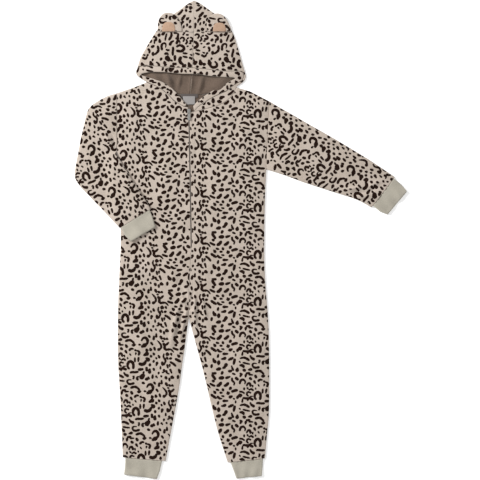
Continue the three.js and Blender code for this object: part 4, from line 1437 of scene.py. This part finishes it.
@dataclass
class Hood:
    """The hood: two backs that turn over the crown, two fronts, the edge band, ears, tape and label.

    Args:
        finishes: The garment's finishes.
        fold_middle: Height of the crown's fold.
        fold_radius: Distance over which it is rounded.
        mouth_level: Where the hood front ends and the strip beside the neck begins, in Y.
    """

    finishes: Finishes
    fold_middle: float = 2.3
    fold_radius: float = 4.0
    mouth_level: float = 1112.0
    cross: Line = line(-140, CROSS_SEAM, 160, CROSS_SEAM)

    def back_loops(self, half: Half) -> tuple[Array, Array]:
        """Outlines of a hood back: the layer on the floor, and the crown that turns over it."""
        way = half.way * 0.03
        neck = half.back_neck.array() + [0, 0.4]
        centre = HOOD_CENTRE.array() + [way, 0]
        neck[0] = centre[-1] = [way, 1047.4]
        fold = half.cap.smooth().samples()
        fold[0] = centre[0]
        low = loop_of(
            between(*centre[::-1]).samples(), fold, half.hood_side.smooth().samples(),
            between(*neck).samples()[::-1],
        )
        level = CROSS_SEAM + CROSS_GAP
        end, middle = (fold[-1][0], level), (11 + way, level)
        cap = loop_of(
            fold, between(fold[-1], end).samples(3), between(end, middle).samples(),
            between(middle, centre[0]).samples(),
        )
        return low, cap

    def back(self, half: Half) -> bpy.types.Object:
        """One hood back: lower layer on the floor, crown turned over to the cross seam."""
        side, cap = half.hood_side.smooth(), half.cap.smooth()
        low_loop, cap_loop = self.back_loops(half)

        def curve(xy: Array) -> Array:
            return quarter_round(cap.distance(xy) / self.fold_radius)

        def lower(xy: Array) -> Array:
            y = xy[:, 1]
            drape = np.maximum(Lie.lining_drape.height(xy) + 1.0, 0)
            drape = drape * smoothstep((1119 - y) / 12) * smoothstep((y - 1044) / 10)
            rise = np.maximum(0.8 * edge_drop(xy, [(side, Edge.TURNED)]), self.fold_middle * (1 - curve(xy)))
            return np.column_stack([xy, rise + drape])

        def upper(xy: Array) -> Array:
            top = Lie.hood_under(xy) + FRONT_THICK + Lie.hood_drape.height(xy) * 0.6
            top = self.fold_middle + (top - self.fold_middle) * curve(xy)
            seam = edge_drop(xy, [(self.cross, Edge.SEWN), (line(12, 1306, 11, 1219), Edge.SEWN)])
            return np.column_stack([xy, top - seam * curve(xy)])

        layers = [
            Layer(low_loop, lower, Side.DOWN, start=(60.0, 22.0), step=9.0, inner_step=2.7),
            Layer(cap_loop, upper, grain=math.radians(half.hood_grain), start=(60.0, 44.0)),
        ]
        cloth = Cloth(f"hood_back_{half.name}_cloth", layers, self.finishes.printed, thin_edges=[side])
        return dress(cloth.build(), f"hood_back_{half.name}", cloth)

    def front_loop(self, half: Half) -> Array:
        """Outline of a hood front; the left one runs down beside the neck as a strip."""
        side = half.hood_side.smooth()
        edge = side.samples()
        edge = edge[(edge[:, 1] < CROSS_SEAM - 2) & (edge[:, 1] > half.hood_low)]
        level = CROSS_SEAM - CROSS_GAP
        corner = (float(np.interp(level, side.array()[::-1, 1], side.array()[::-1, 0])), level)
        middle = (11 + half.way * SEAM_GAP, level)
        bottom = half.mouth_seam.samples()
        bottom[0] = [7 + half.way * SEAM_GAP, 1122]
        down = [edge]
        if half is LEFT:
            down += [STRIP_OUTER.smooth(1).samples(), STRIP_INNER.smooth(1).samples()[::-1]]
            bottom = bottom[bottom[:, 0] < 142]
        return loop_of(np.array([middle, corner]), *down, bottom[::-1], between(bottom[0], middle).samples())

    def front(self, half: Half) -> bpy.types.Object:
        """One hood front, from the cross seam to the edge band."""
        side = half.hood_side.smooth()
        sewn = (half.mouth_seam, line(11, 1219, 7, 1122), self.cross, LEFT.neck)
        edges = [(side, Edge.TURNED), *((seam, Edge.SEWN) for seam in sewn)]

        def place(xy: Array) -> Array:
            under = np.where(xy[:, 1] > self.mouth_level, Lie.hood_under(xy), Lie.neck_under(xy))
            drape = Lie.hood_drape.height(xy) * dome(side.distance(xy), 20)
            return np.column_stack([xy, under + FRONT_THICK + drape - edge_drop(xy, edges)])

        layer = Layer(self.front_loop(half), place, grain=math.radians(half.hood_grain), start=(24.0, 34.0))
        cloth = Cloth(f"hood_front_{half.name}_cloth", [layer], self.finishes.printed, thin_edges=[side])
        return dress(cloth.build(), f"hood_front_{half.name}", cloth)

    def band(self) -> bpy.types.Object:
        """The doubled band round the hood's opening."""
        mouth, seam = BAND_MOUTH.smooth(1), BAND_SEAM.smooth(1)
        loop = loop_of(
            mouth.samples(4), between(mouth.points[-1], seam.points[-1]).samples(4),
            seam.samples(4)[::-1], between(seam.points[0], mouth.points[0]).samples(4),
        )
        edges = [(mouth, Edge.TURNED), (seam, Edge.SEWN)]

        def place(xy: Array) -> Array:
            lift = 2.8 + Drape(seed=31, wave=0.22).height(xy) * 0.6
            raised = 2.6 * smoothstep((xy[:, 1] - 1088) / 10) * smoothstep(seam.distance(xy) / 12)
            return np.column_stack([xy, Lie.neck_under(xy) + lift + raised - edge_drop(xy, edges)])

        layer = Layer(loop, place, start=(120.0, 60.0), step=5.0, inner_step=8.0)
        cloth = Cloth(
            "hood_band_cloth", [layer], self.finishes.printed, thick=2.2, thin_edges=[mouth], strip=640.0
        )
        return dress(cloth.build(), "hood_band", cloth)

    def ear(self, half: Half, inner: bool) -> bpy.types.Object:
        """A printed ear, or the plain inner ear that lies on it."""
        x, wide, tall, lean = half.ear_inner if inner else half.ear
        square, corners = (0.72, 30) if inner else (0.9, 46)
        low, thick, puffed, sunk = (3.4, 0.9, 0.35, 0.7) if inner else (0.6, 2.4, 0.5, 0.9)
        base = CROSS_SEAM + 1.0
        turn = np.linspace(0, math.pi, corners)
        rise = tall * np.sin(turn) ** square
        across = np.sign(np.cos(turn)) * np.abs(np.cos(turn)) ** square
        rim = between(*np.column_stack([x + wide / 2 * across + lean * rise / tall, base + rise]))
        loop = loop_of(rim.array(), between(rim.points[-1], rim.points[0]).samples(4))

        def place(xy: Array) -> Array:
            from_rim = rim.distance(xy)
            drop = edge_drop(xy, [(rim, Edge.FREE if inner else Edge.TURNED)])
            wrinkle = Drape(seed=half.ear_seed, wave=0.2).height(xy) * dome(from_rim, 8)
            seam = sunk * (1 - smoothstep((xy[:, 1] - base) / 5))
            puff = puffed * dome(from_rim, 14)
            z = Lie.hood_under(xy) + (FRONT_THICK + low) + thick + puff - drop + wrinkle - seam
            return np.column_stack([xy, z])

        name = f"ear_inner_{half.name}" if inner else f"ear_{half.name}"
        face = (self.finishes.peach,) * 3 if inner else self.finishes.printed
        layer = Layer(loop, place, start=(half.ear_start, 75.0), printed=not inner, step=3.5, inner_step=6.0)
        cloth = Cloth(name + "_cloth", [layer], face, thick=thick * 0.9, thin_edges=[rim])
        return dress(cloth.build(), name, cloth)

    def woven(self, slot: str, low: tuple[float, float], high: tuple[float, float], material: Material,
              rise: float, above: float) -> bpy.types.Object:
        """A small flat woven piece inside the back neck.

        Args:
            slot: The record's material slot, and the end of the node's name.
            low: Its lower right corner, on the wearer's side.
            high: Its upper left corner.
            material: Its finish.
            rise: How far its middle bulges.
            above: Height over the back neck.

        Returns:
            The object.
        """
        (ax, ay), (bx, by) = low, high
        rim = line(ax, ay, bx, ay, bx, by, ax, by, ax, ay)

        def place(xy: Array) -> Array:
            z = FRONT_THICK + 1.0 + above + rise * np.sin((xy[:, 0] - ax) / (bx - ax) * math.pi)
            return np.column_stack([xy, z - 0.4 * edge_drop(xy, [(rim, Edge.FREE)])])

        layer = Layer(loop_of(rim.samples(2.0)), place, printed=False, step=2.0, inner_step=4.0)
        cloth = Cloth(f"neck_{slot}_woven", [layer], (material,) * 3, thick=0.5)
        return dress(cloth.build(), f"neck_{slot}", cloth)

    def build(self) -> None:
        """Makes every piece of the hood."""
        for half in (RIGHT, LEFT):
            self.back(half)
            self.front(half)
            self.ear(half, False)
            self.ear(half, True)
        self.band()
        self.woven("tape", (-25, 1040.2), (22, 1051), self.finishes.tape, 0.5, 0.0)
        self.woven("label", (-19, 1022), (14, 1044.5), self.finishes.label, 0.3, 0.9)


@dataclass
class Zip:
    """The front zip: tape under the fronts, a coil chain, and the slider and pull tab with their metal.

    Args:
        finishes: The garment's finishes.
        tape_half: Half the tape's width.
        pitch: Distance between turns of one coil.
        coil: Width, height and length of a turn.
        rounded: Radius of a turn's edges.
        apart: How far each coil stands from the centre.
        level: Height of the coils.
    """

    finishes: Finishes
    tape_half: float = 10.5
    pitch: float = 2.2
    coil: tuple[float, float, float] = (1.25, 0.8, 1.5)
    rounded: float = 0.3
    apart: float = 0.62
    level: float = 6.6

    def tape(self) -> bpy.types.Object:
        """The woven tape."""
        y = np.arange(ZIP_END - 3, ZIP_TOP - 12, STEP)
        x = CENTRE.x_at(y)
        right, left = (np.column_stack([x + way * self.tape_half, y]) for way in (-1, 1))

        def place(xy: Array) -> Array:
            return np.column_stack([xy, Lie.body_under(xy) - 0.5])

        layer = Layer(loop_of(right, left[::-1]), place, printed=False, step=8.0)
        cloth = Cloth("zip_tape_woven", [layer], (self.finishes.tape,) * 3, thick=0.6)
        return dress(cloth.build(), "zip_tape", cloth)

    def turn(self) -> tuple[Array, list[tuple[int, ...]]]:
        """Points in metres, and faces, of one rounded turn of the coil."""
        bpy.ops.object.select_all(action="DESELECT")
        bpy.ops.mesh.primitive_cube_add(size=1)
        turn = bpy.context.object
        turn.scale = [size * MM for size in self.coil]
        bpy.ops.object.transform_apply(location=True, rotation=True, scale=True)
        bevel = turn.modifiers.new("rounded", "BEVEL")
        bevel.width = self.rounded * MM
        bevel.segments = 2
        bpy.ops.object.modifier_apply(modifier=bevel.name)
        shape = np.array([v.co[:] for v in turn.data.vertices])
        faces = [tuple(f.vertices) for f in turn.data.polygons]
        bpy.data.objects.remove(turn)
        return shape, faces

    def chain(self) -> bpy.types.Object:
        """The coil: one turn copied down both sides."""
        shape, faces = self.turn()
        points, every = [], []
        low, step = ZIP_END + 6, self.pitch / 2
        for k in range(int((ZIP_TOP - 13 - low) / step)):
            y = low + k * self.pitch / 2
            x = float(CENTRE.x_at(np.array([y]))[0]) + (self.apart if k % 2 else -self.apart)
            points.append(shape + to_frame(np.array([x, y, self.level])))
            every += [tuple(i + k * len(shape) for i in f) for f in faces]
        piece = add_object("zip_coil", np.vstack(points), every, [self.finishes.coil], smooth=False)
        return dress(piece, "zip_chain")

    def build(self) -> None:
        """Makes the zip."""
        self.tape()
        self.chain()
        for node in ("zip_slider", "pull_tab"):
            body = frame["nodes"][node]
            body.data.materials.clear()
            body.data.materials.append(self.finishes.metal)


@dataclass
class Studio:
    """The plain floor, the soft light and the camera straight above.

    Args:
        frame_width: Width of the picture at the floor, in millimetres.
        lens: Focal length in millimetres.
        sensor: Width of the sensor in millimetres.
        aim: The camera's place over the floor, in metres.
        glow: Emission that keeps the floor white.
        surround: Strength of the world's light.
    """

    frame_width: float = 1310.4
    lens: float = 85.0
    sensor: float = 36.0
    aim: tuple[float, float] = (-0.002, -0.001)
    glow: float = 0.26
    surround: float = 0.5

    def floor(self) -> None:
        """Lays matt white paper that reaches past every view."""
        bpy.ops.mesh.primitive_plane_add(size=40, location=(0, 0, -0.0005))
        floor = bpy.context.object
        floor.name = "floor"
        paper = bpy.data.materials.new("Matt white paper")
        paper.use_nodes = True
        inputs = paper.node_tree.nodes["Principled BSDF"].inputs
        inputs["Base Color"].default_value = linear("#fdfdfd")
        inputs["Roughness"].default_value = 0.95
        inputs["Emission Color"].default_value = linear("#ffffff")
        inputs["Emission Strength"].default_value = self.glow
        floor.data.materials.append(paper)

    def build(self) -> None:
        """Makes the stage."""
        self.floor()
        camera = bpy.data.objects.new("camera", bpy.data.cameras.new("camera"))
        bpy.context.collection.objects.link(camera)
        camera.data.lens = self.lens
        camera.data.sensor_width = self.sensor
        height = self.frame_width * MM / 2 / math.tan(math.atan(self.sensor / 2 / self.lens))
        camera.location = (*self.aim, height)
        bpy.context.scene.camera = camera
        self.light("key", (-3.5, 1.8, 2.4), 1.2, 206.0)
        self.light("fill", (2.6, -0.4, 2.6), 2.4, 20.0)
        world = bpy.data.worlds.new("soft surround")
        world.use_nodes = True
        inputs = world.node_tree.nodes["Background"].inputs
        inputs["Color"].default_value = (1, 1, 1, 1)
        inputs["Strength"].default_value = self.surround
        bpy.context.scene.world = world
        bpy.context.scene.view_settings.view_transform = "Standard"

    def light(self, name: str, place: tuple[float, float, float], size: float, power: float) -> None:
        """A soft square light that looks at the garment.

        Args:
            name: Its name.
            place: Where it hangs, in metres.
            size: Edge length.
            power: Watts.
        """
        data = bpy.data.lights.new(name, "AREA")
        data.size = size
        data.energy = power
        lamp = bpy.data.objects.new(name, data)
        lamp.location = place
        lamp.rotation_mode = "QUATERNION"
        lamp.rotation_quaternion = (-Vector(place)).to_track_quat("-Z", "Y")
        bpy.context.collection.objects.link(lamp)


def main() -> None:
    """Builds the stage and then the garment."""
    logging.basicConfig(level=logging.INFO, format="%(name)s %(message)s")
    Studio().build()
    finishes = Finishes()
    Body(finishes).build()
    Sleeves(finishes).build()
    for half in (RIGHT, LEFT):
        base = Lie.on_body if half is RIGHT else Lie.on_floor
        Cuff(f"wrist_cuff_{half.name}", half.wrist, base, finishes).build()
    for half in (RIGHT, LEFT):
        Cuff(f"ankle_cuff_{half.name}", half.ankle, Lie.on_floor, finishes).build()
    Hood(finishes).build()
    Zip(finishes).build()


if __name__ == "__main__":
    main()
